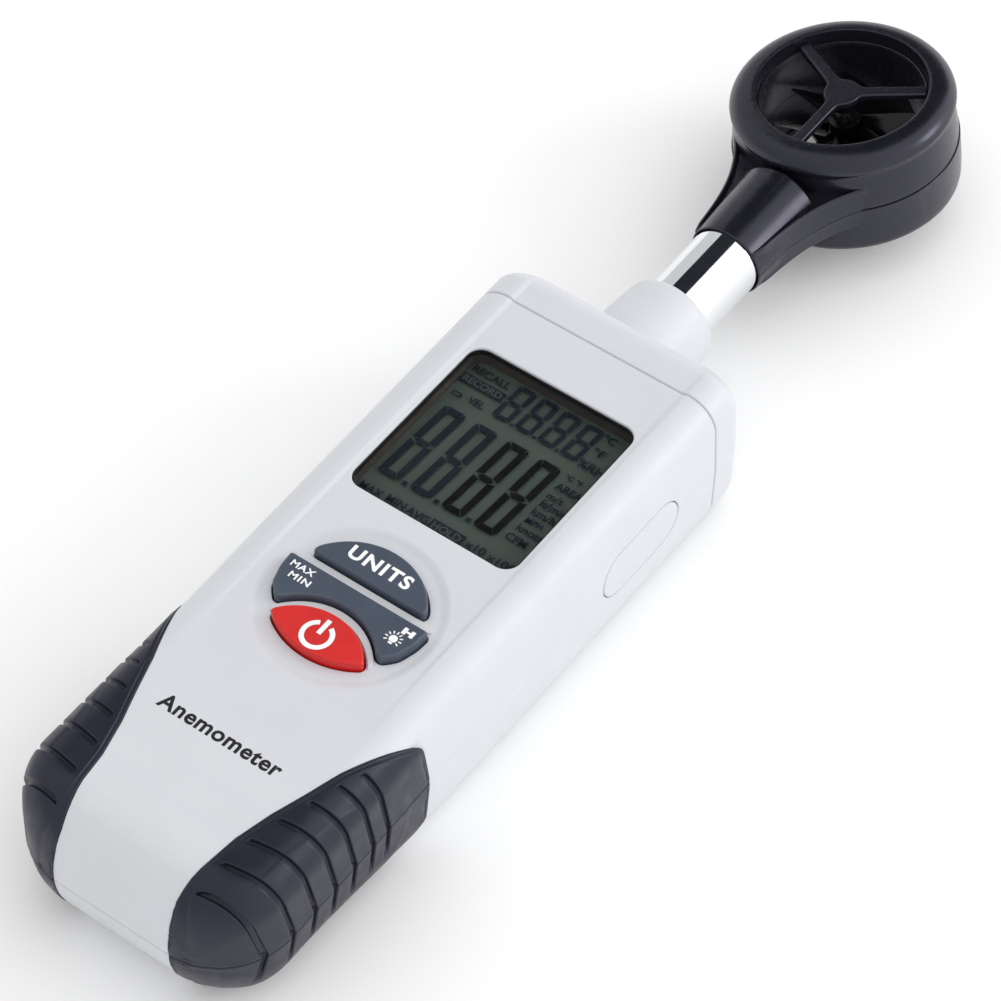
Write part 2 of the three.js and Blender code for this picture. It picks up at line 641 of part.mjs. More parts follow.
addMesh(body, "sensor_header", box(-4, 4, -1, 5.2, 12.6, 19.75), "guide");
addMesh(body, "keypad_mat", keypadMat(), "silicone");

const stem = (x, y) => post(x, y, STEM.z0, KEY_BOTTOM + 0.1, STEM.radius, 12);
addMesh(body, "units_key", keyCap(unitsOutline, [stem(...KEY_SPOTS[0])]), "greyKey");
const modeFeet = [stem(...KEY_SPOTS[1]), stem(...KEY_SPOTS[2])];
addMesh(body, "mode_key", keyCap(modeOutline, modeFeet), "greyKey");
addMesh(body, "power_key", keyCap(powerOutline, [stem(...KEY_SPOTS[3])]), "redKey");

addMesh(body, "battery", batterySolid(), "battery");
const snapY = BATTERY.y0 + BATTERY.length + GAP;
const { halfWidth: snapWidth, thickness: snapThickness, z0: snapLow, z1: snapHigh } = SNAP;
const snap = box(-snapWidth, snapWidth, snapY, snapY + snapThickness, snapLow, snapHigh);
addMesh(body, "battery_snap", snap, "black");
addMesh(body, "positive_lead", lead(LEAD.x), "redLead");
addMesh(body, "negative_lead", lead(-LEAD.x), "black");

SCREWS.forEach(([x, y], i) => addMesh(body, `case_screw_${i + 1}`, caseScrew(x, y), "steel"));
addMesh(body, "friction_ring", frictionRing(), "rubber");
const cableProfile = [[0, CABLE.y0], [CABLE.radius, CABLE.y0], [CABLE.radius, CABLE.y1], [0, CABLE.y1]];
addMesh(body, "sensor_cable", turned(cableProfile, TUBE.z, 12), "rubber");

// ---- probe: tube and head, turned about the tube's axis ----------------------------------------
const probe = new THREE.Group();
probe.position.z = TUBE.z;
probe.rotation.y = radians(SWIVEL_REST);
root.add(probe);

function probeTube() {
  const { radius, bore, y0, y1 } = TUBE;
  const chamfer = [[radius - 0.3, y0], [radius, y0 + 0.3]];
  return turned([[bore, y0], ...chamfer, [radius, y1], [bore, y1], [bore, y0]], 0, 40);
}

function tubeNut() {
  const { y0, y1, flats } = NUT;
  const corner = flats / Math.cos(Math.PI / 6);
  const hex = turned([[0, y0], [corner, y0], [corner, y1], [0, y1]], 0, 6);
  const key = box(-KEY_TAB.halfWidth, KEY_TAB.halfWidth, y0, y1, -KEY_TAB.reach, -flats + 1);
  const hole = turned([[0, 0], [TUBE.radius + GAP, 0], [TUBE.radius + GAP, 40], [0, 40]], 0, 32);
  return hex.add(key).subtract(hole);
}

addMesh(probe, "probe_tube", probeTube(), "chrome");
addMesh(probe, "tube_nut", tubeNut(), "brass");

// The head is drawn about the ring's centre, with the seam of its two shells at z = 0.
const head = new THREE.Group();
head.position.y = HEAD_Y;
probe.add(head);

const NECK_END = SOCKET_Y - HEAD_Y;
const WING_HEIGHT = 4.3;

function neckShape(inset) {
  const points = [new THREE.Vector2(6.9 - inset, NECK_END), new THREE.Vector2(7.3 - inset, -32)];
  const flare = new THREE.CubicBezierCurve(
    new THREE.Vector2(7.3 - inset, -32),
    new THREE.Vector2(8.1 - inset, -26.3),
    new THREE.Vector2(10 - inset, -18.8),
    new THREE.Vector2(16.2, -11.4),
  );
  points.push(...flare.getPoints(6).slice(1), new THREE.Vector2(12, 0));
  const left = points.map((p) => new THREE.Vector2(-p.x, p.y)).reverse();
  return new THREE.Shape([...points, ...left]);
}

// Neck of one shell above the seam: a low plate with the raised saddle over the tube.
function neckSolid() {
  const plate = prism(neckShape(0), GAP / 2, WING_HEIGHT - 0.5);
  const rim = prism(neckShape(0.5), GAP / 2, WING_HEIGHT);
  const { open, end, endY } = SADDLE;
  const saddle = turned([[0, NECK_END], [open, NECK_END], [end, endY], [0, endY]], 0, 28);
  const above = box(-30, 30, -60, 60, GAP / 2, 30);
  return union(plate, rim, saddle.intersect(above));
}

// Socket for the tube, and the smaller hollow behind it for the pickup.
function neckBore() {
  const socket = TUBE.radius + 0.15;
  const shoulder = TUBE.y1 - HEAD_Y + GAP;
  const profile = [
    [0, NECK_END - 1],
    [socket, NECK_END - 1],
    [socket, shoulder],
    [5, shoulder],
    [5, -18],
    [0, -18],
  ];
  return turned(profile, 0, 28);
}

function ringHollow(z0, z1) {
  const [inner, outside] = RING.cavity;
  return spun([[inner, z0], [outside, z0], [outside, z1], [inner, z1], [inner, z0]], 30);
}

function frontRing() {
  const profile = [
    [RING.bore, GAP / 2],
    [20.1, GAP / 2],
    [19.5, 6.6],
    [19.7, 7.1],
    [20, 7.6],
    [20, 8.5],
    [19.5, 9.7],
    [18.6, 10.6],
    [17.4, 11.1],
    [16, 11.25],
    [RING.bore, RING.top],
    [RING.bore, GAP / 2],
  ];
  return { solid: spun(profile, 40), hollowRing: ringHollow(-1, 8.6) };
}

function rearRing() {
  const profile = [
    [RING.bore, RING.bottom],
    [18.6, RING.bottom],
    [19.6, RING.bottom + 0.4],
    [20.2, RING.bottom + 1.4],
    [RING.outer, -GAP / 2],
    [RING.bore, -GAP / 2],
    [RING.bore, RING.bottom],
  ];
  return { solid: spun(profile, 40), hollowRing: ringHollow(-8, 1) };
}

const HEAD_SCREWS = [
  [-7.2, -21.6],
  [7.2, -21.6],
];
const ductBore = spun([[0, -20], [RING.bore, -20], [RING.bore, 20], [0, 20]], 40);

// The ring's hollow stops short of the neck, so that the neck joins solid material.
function headShell({ solid, hollowRing }, neck) {
  const channel = hollowRing.subtract(box(-14, 14, -30, -8, -30, 30));
  return solid.add(neck.subtract(ductBore)).subtract(channel).subtract(neckBore());
}

function headFrontShell() {
  let shell = headShell(frontRing(), neckSolid());
  for (const [x, y] of HEAD_SCREWS) {
    shell = shell.subtract(post(x, y, -1, HEAD_BOSS.depth, HEAD_BOSS.pilot, 10));
  }
  return shell;
}

function headRearShell() {
  let shell = headShell(rearRing(), neckSolid().mirror([0, 0, 1]));
  for (const [x, y] of HEAD_SCREWS) {
    shell = shell.subtract(post(x, y, -12, HEAD_BOSS.pocketZ, HEAD_BOSS.pocket, 14));
    shell = shell.subtract(post(x, y, -12, 1, HEAD_BOSS.pilot, 10));
  }
  return shell;
}

function headScrew(x, y) {
  const { head: radius, z0, seat, shank, tipZ, slot } = HEAD_SCREW;
  const cap = post(x, y, z0, seat, radius, 14);
  const groove = box(x - 1.2, x + 1.2, y - slot, y + slot, z0 - 1, z0 + 0.5);
  return cap.add(post(x, y, seat - 0.1, tipZ, shank, 10)).subtract(groove);
}

// A three-spoked guard with a bearing boss under its hub; its outer face is at z = top.
function guardSolid() {
  const top = RING.top - SPOKE.recess;
  const under = top - SPOKE.thickness;
  const rimOuter = RING.bore - GAP;
  const [rimInner, low, high] = [rimOuter - 0.7, under - 0.6, top - 0.6];
  const rimProfile = [[rimInner, low], [rimOuter, low], [rimOuter, high], [rimInner, high], [rimInner, low]];
  const rim = spun(rimProfile, 36);
  let guard = rim.add(post(0, 0, under - 0.3, top, GUARD_HUB, 24));
  for (let i = 0; i < SPOKE.count; i++) {
    const spoke = new THREE.BoxGeometry(rimOuter - 0.3, SPOKE.width, SPOKE.thickness);
    spoke.translate((rimOuter - 0.3) / 2, 0, (under + top) / 2);
    guard = guard.add(solidOf(spoke.rotateZ(radians(-90 + (360 * i) / SPOKE.count))));
  }
  const boss = post(0, 0, under - BEARING.bossDepth, under, BEARING.boss, 16);
  return guard.add(boss).subtract(post(0, 0, under - 3, under - 0.5, BEARING.seat, 12));
}

function bearingSolid() {
  const under = RING.top - SPOKE.recess - SPOKE.thickness;
  const cup = post(0, 0, under - 2.3, under - 0.8, BEARING.cup, 12);
  return cup.subtract(post(0, 0, under - 3, under - 1.2, SHAFT_RADIUS + 0.2, 8));
}

function flipped(solid) {
  return solid.mirror([0, 0, 1]);
}

addMesh(head, "head_front_shell", headFrontShell(), "black");
addMesh(head, "head_rear_shell", headRearShell(), "black");
addMesh(head, "front_guard", guardSolid(), "black");
addMesh(head, "rear_guard", flipped(guardSolid()), "black");
addMesh(head, "front_bearing", bearingSolid(), "brass");
addMesh(head, "rear_bearing", flipped(bearingSolid()), "brass");
HEAD_SCREWS.forEach(([x, y], i) => addMesh(head, `head_screw_${i + 1}`, headScrew(x, y), "steel"));
addMesh(head, "pickup_board", box(-3.8, 3.8, -29.9, -18.6, -0.6, 0.6), "board");
addMesh(head, "pickup_sensor", box(-2, 2, -22.2, -18.6, 0.9, 2.3), "black");

// ---- rotor -----------------------------------------------------------------------------------
const rotor = new THREE.Group();
head.add(rotor);

// One blade, a thin helical plate from the hub out to the tip.
function bladeSolid(turn) {
  const rings = [];
  for (const radius of [2.4, 5.2, 8, 10.8, ROTOR.radius]) {
    const lean = Math.atan(0.085 * radius + 0.25);
    const chord = (2 * ROTOR.halfHeight - 0.6) / Math.cos(lean);
    const along = new THREE.Vector2(Math.sin(lean), Math.cos(lean));
    const across = new THREE.Vector2(along.y, -along.x);
    const ring = [[-1, -1], [1, -1], [1, 1], [-1, 1]].map(([a, b]) => {
      const reach = (a * ROTOR.thickness) / 2;
      const half = (b * chord) / 2;
      const [y, z] = [across.x * reach + along.x * half, across.y * reach + along.y * half];
      return new THREE.Vector3(radius, y, z).applyAxisAngle(new THREE.Vector3(0, 0, 1), turn);
    });
    rings.push(ring);
  }
  return loft(rings.reverse());
}

function rotorSolid() {
  let whole = post(0, 0, -ROTOR.halfHeight, ROTOR.halfHeight, ROTOR.hub, 24);
  for (let i = 0; i < ROTOR.blades; i++) {
    whole = whole.add(bladeSolid((2 * Math.PI * (i + 0.35)) / ROTOR.blades));
  }
  whole = whole.subtract(post(0, 0, -20, 20, SHAFT_RADIUS + GAP, 12));
  return whole.subtract(post(0, 0, ROTOR.halfHeight - MAGNET.pocketDepth, 20, MAGNET.pocket, 20));
}

function magnetSolid() {
  const z1 = ROTOR.halfHeight - 0.1;
  const hole = post(0, 0, -20, 20, SHAFT_RADIUS + GAP, 12);
  return post(0, 0, z1 - MAGNET.height, z1, MAGNET.radius, 20).subtract(hole);
}

const shaftReach = RING.top - SPOKE.recess - SPOKE.thickness - 1.5;
const shaft = union(
  post(0, 0, -shaftReach + 0.5, shaftReach - 0.5, SHAFT_RADIUS, 12),
  post(0, 0, shaftReach - 0.51, shaftReach, SHAFT_RADIUS, 12, 0.15),
  post(0, 0, -shaftReach, -shaftReach + 0.51, 0.15, 12, SHAFT_RADIUS),
);
addMesh(rotor, "vane_rotor", rotorSolid(), "vane");
addMesh(rotor, "rotor_magnet", magnetSolid(), "steel");
addMesh(rotor, "rotor_shaft", shaft, "steel");

export default root;
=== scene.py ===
import math

import bmesh
import bpy
import numpy as np
from mathutils import Matrix, Vector


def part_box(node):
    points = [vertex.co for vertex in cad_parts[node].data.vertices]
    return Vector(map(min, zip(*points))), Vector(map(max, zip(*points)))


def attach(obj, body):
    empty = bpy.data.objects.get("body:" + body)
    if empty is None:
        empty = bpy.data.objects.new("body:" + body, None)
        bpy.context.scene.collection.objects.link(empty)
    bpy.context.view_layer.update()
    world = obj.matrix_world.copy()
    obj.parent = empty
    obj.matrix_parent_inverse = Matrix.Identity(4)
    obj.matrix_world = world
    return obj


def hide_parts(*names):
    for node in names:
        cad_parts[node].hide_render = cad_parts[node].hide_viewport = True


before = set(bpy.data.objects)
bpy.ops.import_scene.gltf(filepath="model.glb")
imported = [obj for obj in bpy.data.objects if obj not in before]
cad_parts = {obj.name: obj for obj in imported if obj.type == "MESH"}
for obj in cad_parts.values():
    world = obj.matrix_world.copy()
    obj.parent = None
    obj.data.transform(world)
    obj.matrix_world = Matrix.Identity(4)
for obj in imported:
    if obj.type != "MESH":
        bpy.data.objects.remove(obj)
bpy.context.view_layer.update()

# A hand-held vane anemometer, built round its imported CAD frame. Shapes are drawn in millimetres in the
# row frame, +Y from the handle to the vane head and +Z out of the display face, and are scaled to
# metres when a piece is finished.
MM = 0.001
FAR = 80.0


def box_mm(node):
    low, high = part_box(node)
    return low / MM, high / MM


# ---- driving dimensions, from the frame where a node has them ----
HANDLE_END = box_mm("front_case")[0].y
PANE_TOP = box_mm("display_window")[1].z
DOOR_HALF = box_mm("battery_door")[1].x
KEY_HIGH = box_mm("units_key")[1].z
PLUG_LOW, PLUG_HIGH = box_mm("side_plug_right")
GRIP_LOW, GRIP_HIGH = box_mm("front_grip_right")
LCD_LOW, LCD_HIGH = box_mm("lcd_glass")
FACE_Z = 28.5  # middle of the front face
SHOULDER = 0.4  # rise of the long shoulders beside it
SHOULDER_X = (16.9, 18.2)  # where the face starts and ends its rise to the shoulder
PARTING_Z = 14.1
PARTING_GAP = 0.14
SEAM_Y = 15.2
SEAM_GAP = 0.22
CAP_END = 24.5
CAP_ROUND = 5.0
WAIST_HALF = 23.9
WAIST_Y = -62.0
FLARE = 0.0062  # growth of the half width per mm from the waist
DRAFT = 0.3
FRONT_RADIUS = 5.8
REAR_RADIUS = {"body": 5.0, "handle": 10.4, "y": (-96, -56)}  # of the back's long corners
PLAN_RADIUS = 13.8
END_ROUND = 10.3
WALL = 2.4
CORNER_Y = HANDLE_END + PLAN_RADIUS
ROUND_Y = HANDLE_END + END_ROUND
CAP_Y = CAP_END - CAP_ROUND

WINDOW = {"half_width": 16.5, "half_length": 17.85, "y": -13.65, "radius": 2.8}
LEGEND = 0.02  # thickness of printed legends
KEY_TOP = KEY_HIGH - LEGEND
KEY_BOTTOM = 24.1
KEY_GAP = 0.28
DISH = {"y": -51.6, "radius": 16.2, "floor": 28.0, "slope": 2.0}
UNITS_KEY = {"y": -46.75, "half": 11.0, "side": 1.1, "rise": 6.2}
MODE_KEY = {"y": -48.9, "half": 13.6, "side": [(13.35, -52.0), (12.4, -55.2)], "tip": (10.5, -57.3),
            "inner": 9.4, "rise": 4.4}
POWER_KEY = {"y": -59.75, "half": 9.3, "upper": 5.0, "lower": 3.2}
SCREWS = [(-18, 10.2), (18, 10.2), (-8.6, -98), (8.6, -98)]
DOOR = {"y": (-76.5, -19), "gap": 0.22, "room": 4.6}  # room lets it slide

TUBE_Z = 15.5
TUBE_RADIUS = 6.6
TUBE_BORE = 5.6
TUBE_ENDS = (13.0, 60.4)
SWIVEL_REST = math.radians(-8.2)
HEAD_Y = 91.15
NECK_END = 53.5 - HEAD_Y
HEAD_SEAM = -0.4
RING_BORE = 14.85
HEAD_SCREWS = [(-7.2, -21.6), (7.2, -21.6)]
PROBE_PLACE = Matrix.Translation((0, 0, TUBE_Z)) @ Matrix.Rotation(SWIVEL_REST, 4, "Y")
HEAD_PLACE = PROBE_PLACE @ Matrix.Translation((0, HEAD_Y, 0))


# ---- solids in millimetres ----
def linked(name, data):
    obj = bpy.data.objects.new(name, data)
    bpy.context.scene.collection.objects.link(obj)
    return obj


def solid(points, faces):
    mesh = bpy.data.meshes.new("work")
    mesh.from_pydata([tuple(map(float, p)) for p in points], [], faces)
    bm = bmesh.new()
    bm.from_mesh(mesh)
    bmesh.ops.remove_doubles(bm, verts=bm.verts, dist=1e-4)
    bmesh.ops.dissolve_degenerate(bm, edges=bm.edges, dist=1e-5)
    bmesh.ops.recalc_face_normals(bm, faces=bm.faces)
    bm.to_mesh(mesh)
    bm.free()
    return linked("work", mesh)


def loft(rings):
    """A closed skin through rings of equal length, with a flat face over each end ring."""
    rings = [np.asarray(ring, float) for ring in rings]
    count = len(rings[0])
    faces = [list(range(count)), list(range((len(rings) - 1) * count, len(rings) * count))]
    for i in range(len(rings) - 1):
        for j in range(count):
            k = (j + 1) % count
            faces.append([i * count + j, i * count + k, (i + 1) * count + k, (i + 1) * count + j])
    return solid(np.vstack(rings), faces)


def box(x0, x1, y0, y1, z0, z1):
    ring = [(x0, y0), (x1, y0), (x1, y1), (x0, y1)]
    return loft([[(x, y, z) for x, y in ring] for z in (z0, z1)])


def lathe(profile, axis="z", sides=96, at=(0, 0, 0)):
    """A solid of revolution from (radius, height) points, from axis to axis or round a closed loop."""
    profile = [(max(r, 0.0), h) for r, h in profile]
    closed = profile[0] == profile[-1]
    if closed:
        profile = profile[:-1]
    points, faces = [], []
    for r, h in profile:
        for j in range(sides):
            a = 2 * math.pi * j / sides
            u, v = r * math.cos(a), r * math.sin(a)
            points.append((u, v, h) if axis == "z" else (u, h, v))
    pairs = [(i, i + 1) for i in range(len(profile) - 1)]
    if closed:
        pairs.append((len(profile) - 1, 0))
    for i, k in pairs:
        for j in range(sides):
            n = (j + 1) % sides
            faces.append([i * sides + j, i * sides + n, k * sides + n, k * sides + j])
    made = solid(points, faces)
    made.data.transform(Matrix.Translation(at))
    return made


def cylinder(radius, low, high, sides, at=(0, 0, 0), axis="z"):
    return lathe([(0, low), (radius, low), (radius, high), (0, high)], axis, sides, at)


def rounded(r0, h0, r1, h1, steps=4):
    """Quarter-round profile points from (r0, h0) to (r1, h1): the corner lies at (r0, h1)."""
    points = []
    for i in range(steps + 1):
        a = math.pi / 2 * i / steps
        points.append((r0 + (r1 - r0) * (1 - math.cos(a)), h0 + (h1 - h0) * math.sin(a)))
    return points


def combined(base, tools, operation):
    for tool in tools:
        modifier = base.modifiers.new("work", "BOOLEAN")
        modifier.operation = operation
        modifier.solver = "MANIFOLD"
        modifier.object = tool
    depsgraph = bpy.context.evaluated_depsgraph_get()
    mesh = bpy.data.meshes.new_from_object(base.evaluated_get(depsgraph))
    base.modifiers.clear()
    base.data = mesh
    for tool in tools:
        bpy.data.objects.remove(tool)
    return base


def cut(base, *tools):
    return combined(base, tools, "DIFFERENCE")


def join(base, *tools):
    return combined(base, tools, "UNION")


def common(base, tool):
    return combined(base, [tool], "INTERSECT")


def moved(obj, matrix):
    obj.data.transform(matrix)
    if matrix.determinant() < 0:
        obj.data.flip_normals()
    return obj


def copied(obj, matrix):
    return moved(linked(obj.name, obj.data.copy()), matrix)


def merged(objects):
    """One object from several that don't touch."""
    bm = bmesh.new()
    for obj in objects:
        bm.from_mesh(obj.data)
        bpy.data.objects.remove(obj)
    mesh = bpy.data.meshes.new("work")
    bm.to_mesh(mesh)
    bm.free()
    return linked("work", mesh)


MIRROR_X = Matrix.Scale(-1, 4, (1, 0, 0))
MIRROR_Z = Matrix.Scale(-1, 4, (0, 0, 1))


def piece(obj, name, body, material, nodes=(), place=Matrix.Identity(4), sharp=32, weighted=True):
    """Turns a work solid into a finished piece of the object."""
    obj.data.transform(Matrix.Scale(MM, 4) @ place)
    obj.name = name
    obj.data.name = name
    obj.data.polygons.foreach_set("use_smooth", [True] * len(obj.data.polygons))
    obj.data.set_sharp_from_angle(angle=math.radians(sharp))
    if weighted:
        modifier = obj.modifiers.new("weighted", "WEIGHTED_NORMAL")
        modifier.keep_sharp = True
        modifier.weight = 80
    obj.data.materials.clear()
    obj.data.materials.append(material)
    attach(obj, body)
    if nodes:
        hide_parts(*nodes)
    return obj


# ---- outlines ----
def arc(half, y, rise, steps=32):
    """Points of a circular arc over a chord, from +x to -x."""
    radius = (half**2 + rise**2) / (2 * rise)
    reach = math.asin(min(half / radius, 1))
    angles = np.linspace(reach, -reach, steps)
    return [(radius * math.sin(a), y + rise - radius + radius * math.cos(a)) for a in angles]


def mirrored(points):
    return [(-x, y) for x, y in reversed(points)]


def resampled(points, step):
    points = np.asarray(points, float)
    closed = np.vstack([points, points[:1]])
    reach = np.concatenate([[0], np.cumsum(np.linalg.norm(np.diff(closed, axis=0), axis=1))])
    places = np.linspace(0, reach[-1], max(int(reach[-1] / step), 12), endpoint=False)
    return np.column_stack([np.interp(places, reach, closed[:, i]) for i in (0, 1)])


def softened(points, radius, step=0.22):
    """The outline with its corners rounded to about radius."""
    dense = resampled(points, step)
    for _ in range(max(int((0.75 * radius / step) ** 2), 1)):
        dense = 0.5 * dense + 0.25 * (np.roll(dense, 1, 0) + np.roll(dense, -1, 0))
    return resampled(dense, step)


def grown(outline, distance):
    """The outline moved outwards along its normals; a soft outline stays simple for small moves."""
    outline = np.asarray(outline, float)
    steps = max(math.ceil(abs(distance) / 0.06), 1)
    for _ in range(steps):
        ahead, behind = np.roll(outline, -1, 0), np.roll(outline, 1, 0)
        along = ahead - behind
        along /= np.maximum(np.linalg.norm(along, axis=1), 1e-9)[:, None]
        area = np.sum(outline[:, 0] * ahead[:, 1] - ahead[:, 0] * outline[:, 1])
        normal = np.column_stack([along[:, 1], -along[:, 0]]) * (1 if area > 0 else -1)
        outline = outline + normal * distance / steps
        if len(outline) > 60:
            outline = 0.5 * outline + 0.25 * (np.roll(outline, 1, 0) + np.roll(outline, -1, 0))
    return outline


def stacked(outline, levels):
    """A solid from one outline: levels are (height, growth) from one end to the other."""
    rings = []
    for z, growth in levels:
        ring = grown(outline, growth)
        rings.append(np.column_stack([ring, np.full(len(ring), z)]))
    return loft(rings)


def rectangle(half_width, y0, y1, radius, steps=10):
    w, low, high = half_width - radius, y0 + radius, y1 - radius
    points = []
    for x, y, start in ((w, low, -90), (w, high, 0), (-w, high, 90), (-w, low, 180)):
        for i in range(steps + 1):
            a = math.radians(start + 90 * i / steps)
            points.append((x + radius * math.cos(a), y + radius * math.sin(a)))
    return points


def opening(outline, z0, face, flare, top=3.0):
    """A cutter for an opening whose rim is rounded where it meets the face."""
    levels = [(z0, 0)]
    levels += [(z, grow) for grow, z in rounded(0, face - flare, flare, face)]
    levels.append((face + top, flare))
    return stacked(outline, levels)


def units_outline():
    k = UNITS_KEY
    points = [(-k["half"], k["y"]), (k["half"], k["y"])] + arc(k["half"], k["y"] + k["side"], k["rise"])
    return softened(points, 0.8)


def mode_outline():
    k = MODE_KEY
    right = [k["tip"], *reversed(k["side"]), (k["half"], k["y"])]
    inner = list(reversed(arc(k["inner"], k["tip"][1] + 0.3, k["rise"])))
    return softened(right + mirrored(right) + inner, 0.5)


def power_outline():
    k = POWER_KEY
    top = arc(k["half"], k["y"], k["upper"])
    low = [(-x, 2 * k["y"] - y) for x, y in arc(k["half"], k["y"], k["lower"])]
    return softened(top + low[1:-1], 0.8)


# ---- the body's skin ----
def smoothstep(x, low, high):
    t = np.clip((np.asarray(x, float) - low) / (high - low), 0, 1)
    return t * t * (3 - 2 * t)


def body_size(y, grow=0.0):
    """Half width, and front and rear heights from the parting plane, at y."""
    y = np.asarray(y, float)
    half = WAIST_HALF + grow + FLARE * np.abs(np.maximum(y, CORNER_Y) - WAIST_Y)
    into_corner = np.maximum(CORNER_Y - y, 0)
    radius = PLAN_RADIUS + grow
    half = half - radius + np.sqrt(np.maximum(radius**2 - into_corner**2, 0))
    into_round = np.maximum(ROUND_Y - y, 0) / (END_ROUND + grow)
    drop = np.sqrt(np.maximum(1 - into_round**2, 0))
    cap_radius = CAP_ROUND + grow
    into_cap = np.maximum(y - CAP_Y, 0)
    loss = cap_radius - np.sqrt(np.maximum(cap_radius**2 - into_cap**2, 0))
    front = (FACE_Z - PARTING_Z + grow) * drop - loss
    rear = (PARTING_Z + grow) * drop - loss
    return half - loss, front, rear


def shoulder_at(y, grow=0.0):
    if grow < -1:
        return 0.0 * np.asarray(y, float)
    return SHOULDER * smoothstep(y, -75, -40) * (1 - smoothstep(y, 19, 23))


def rear_radius_at(y):
    r = REAR_RADIUS
    return r["handle"] + (r["body"] - r["handle"]) * smoothstep(y, *r["y"])


def corner_points(half, level, radius, side, steps=12):
    """A long corner's quarter round from the side wall up (side 1) or down (side -1) to level."""
    angles = [math.pi / 2 * i / steps for i in range(steps + 1)]
    return [(half - DRAFT - radius * (1 - math.cos(a)), level - side * radius * (1 - math.sin(a)))
            for a in angles]


def section(y, grow=0.0, notch=0.0):
    """One closed section of the body, counter-clockwise seen from the handle."""
    half, front, rear = (float(v) for v in body_size(y, grow))
    shoulder = float(shoulder_at(y, grow))
    front_radius = min(FRONT_RADIUS + grow, 0.85 * front)
    rear_radius = min(float(rear_radius_at(y)) + grow, 0.85 * rear)
    right = corner_points(half, PARTING_Z - rear, rear_radius, -1)[::-1]
    lip = min(0.2, 0.4 * front)
    right += [(half, PARTING_Z - lip), (half - notch, PARTING_Z - 0.25 * lip)]
    right += [(half - notch, PARTING_Z + 0.25 * lip), (half, PARTING_Z + lip)]
    top = PARTING_Z + front + shoulder
    right += corner_points(half, top, front_radius, 1)
    reach = right[-1][0]
    inner, outer = SHOULDER_X
    outer = min(outer, reach - 0.1)
    inner = min(inner, outer - 0.6)
    for i in range(7):
        t = i / 6
        right.append((outer + (inner - outer) * t, top - shoulder * t * t * (3 - 2 * t)))
    points = right + [(-x, z) for x, z in reversed(right)]
    return [(x, y, z) for x, z in points]


def skin_stations(y0, y1, grow, step=3.0):
    """Stations along the body, close together where it curves."""
    stations = []
    if y0 < ROUND_Y:
        reach = END_ROUND + grow
        stations += [ROUND_Y - reach * math.sin(math.radians(a))
                     for a in (88, 84, 79, 73, 66, 58, 50, 41, 32, 22, 11)]
        y0 = ROUND_Y
    stop = min(y1, CAP_Y)
    stations += list(np.linspace(y0, stop, max(int((stop - y0) / step), 2)))
    if y1 > CAP_Y:
        reach = CAP_ROUND + grow
        last = min((y1 - CAP_Y) / reach, 1)
        stations += [CAP_Y + reach * math.sin(math.asin(last) * t) for t in np.linspace(0.12, 1, 9)]
    return stations


def body_solid(grow, y0=-FAR * 2, y1=CAP_END, notch=0.0, start_round=0.0, end_round=0.0):
    """The body's outer shape grown by grow between y0 and y1, with rounded rims where asked."""
    sections = [section(y, grow, notch) for y in skin_stations(y0, y1, grow)]

    def rim(y, inward, radius):
        return [section(y + inward * radius * (1 - math.sin(a)), grow - radius * (1 - math.cos(a)), notch)
                for a in (math.pi / 2, 1.1, 0.7, 0.3, 0)]

    if start_round:
        sections = rim(y0, 1, start_round) + sections[1:]
    if end_round:
        sections = sections[:-1] + rim(y1, -1, end_round)[::-1]
    return loft(sections)


# ---- materials ----
def linear(red, green, blue):
    """Scene-linear colour from 8-bit display values."""
    values = []
    for value in (red, green, blue):
        v = value / 255
        values.append(v / 12.92 if v <= 0.04045 else ((v + 0.055) / 1.055) ** 2.4)
    return (*values, 1)


def scaled(colour, factor):
    return (*[min(c * factor, 1) for c in colour[:3]], 1)


class Nodes:
    """Short forms for building one material's nodes."""

    def __init__(self, name):
        self.material = bpy.data.materials.new(name)
        self.material.use_nodes = True
        self.tree = self.material.node_tree
        self.shader = self.tree.nodes["Principled BSDF"]
        self.place = self.add("ShaderNodeTexCoord").outputs["Object"]

    def add(self, kind, sockets=None, **values):
        node = self.tree.nodes.new(kind)
        for key, value in values.items():
            setattr(node, key, value)
        for key, value in (sockets or {}).items():
            node.inputs[key].default_value = value
        return node

    def link(self, output, target):
        self.tree.links.new(output, target)

    def noise(self, size_mm, detail=3.0, stretch=None):
        node = self.add("ShaderNodeTexNoise", {"Scale": 1 / (size_mm * MM), "Detail": detail})
        place = self.place
        if stretch:
            mapping = self.add("ShaderNodeMapping", {"Scale": stretch})
            self.link(place, mapping.inputs["Vector"])
            place = mapping.outputs["Vector"]
        self.link(place, node.inputs["Vector"])
        return node.outputs["Fac"]

    def ranged(self, value, low, high, source=(0.3, 0.7)):
        sockets = {"From Min": source[0], "From Max": source[1], "To Min": low, "To Max": high}
        node = self.add("ShaderNodeMapRange", sockets)
        self.link(value, node.inputs["Value"])
        return node.outputs["Result"]

    def product(self, a, b):
        node = self.add("ShaderNodeMath", operation="MULTIPLY")
        self.link(a, node.inputs[0])
        self.link(b, node.inputs[1])
        return node.outputs[0]

    def mixed(self, factor, a, b):
        node = self.add("ShaderNodeMix", data_type="RGBA")
        self.link(factor, node.inputs[0])
        for socket, value in ((node.inputs[6], a), (node.inputs[7], b)):
            if isinstance(value, tuple):
                socket.default_value = value
            else:
                self.link(value, socket)
        return node.outputs[2]

    def bump(self, height, depth_mm, strength, below=None):
        node = self.add("ShaderNodeBump", {"Distance": depth_mm * MM, "Strength": strength})
        self.link(height, node.inputs["Height"])
        if below is not None:
            self.link(below, node.inputs["Normal"])
        return node.outputs["Normal"]


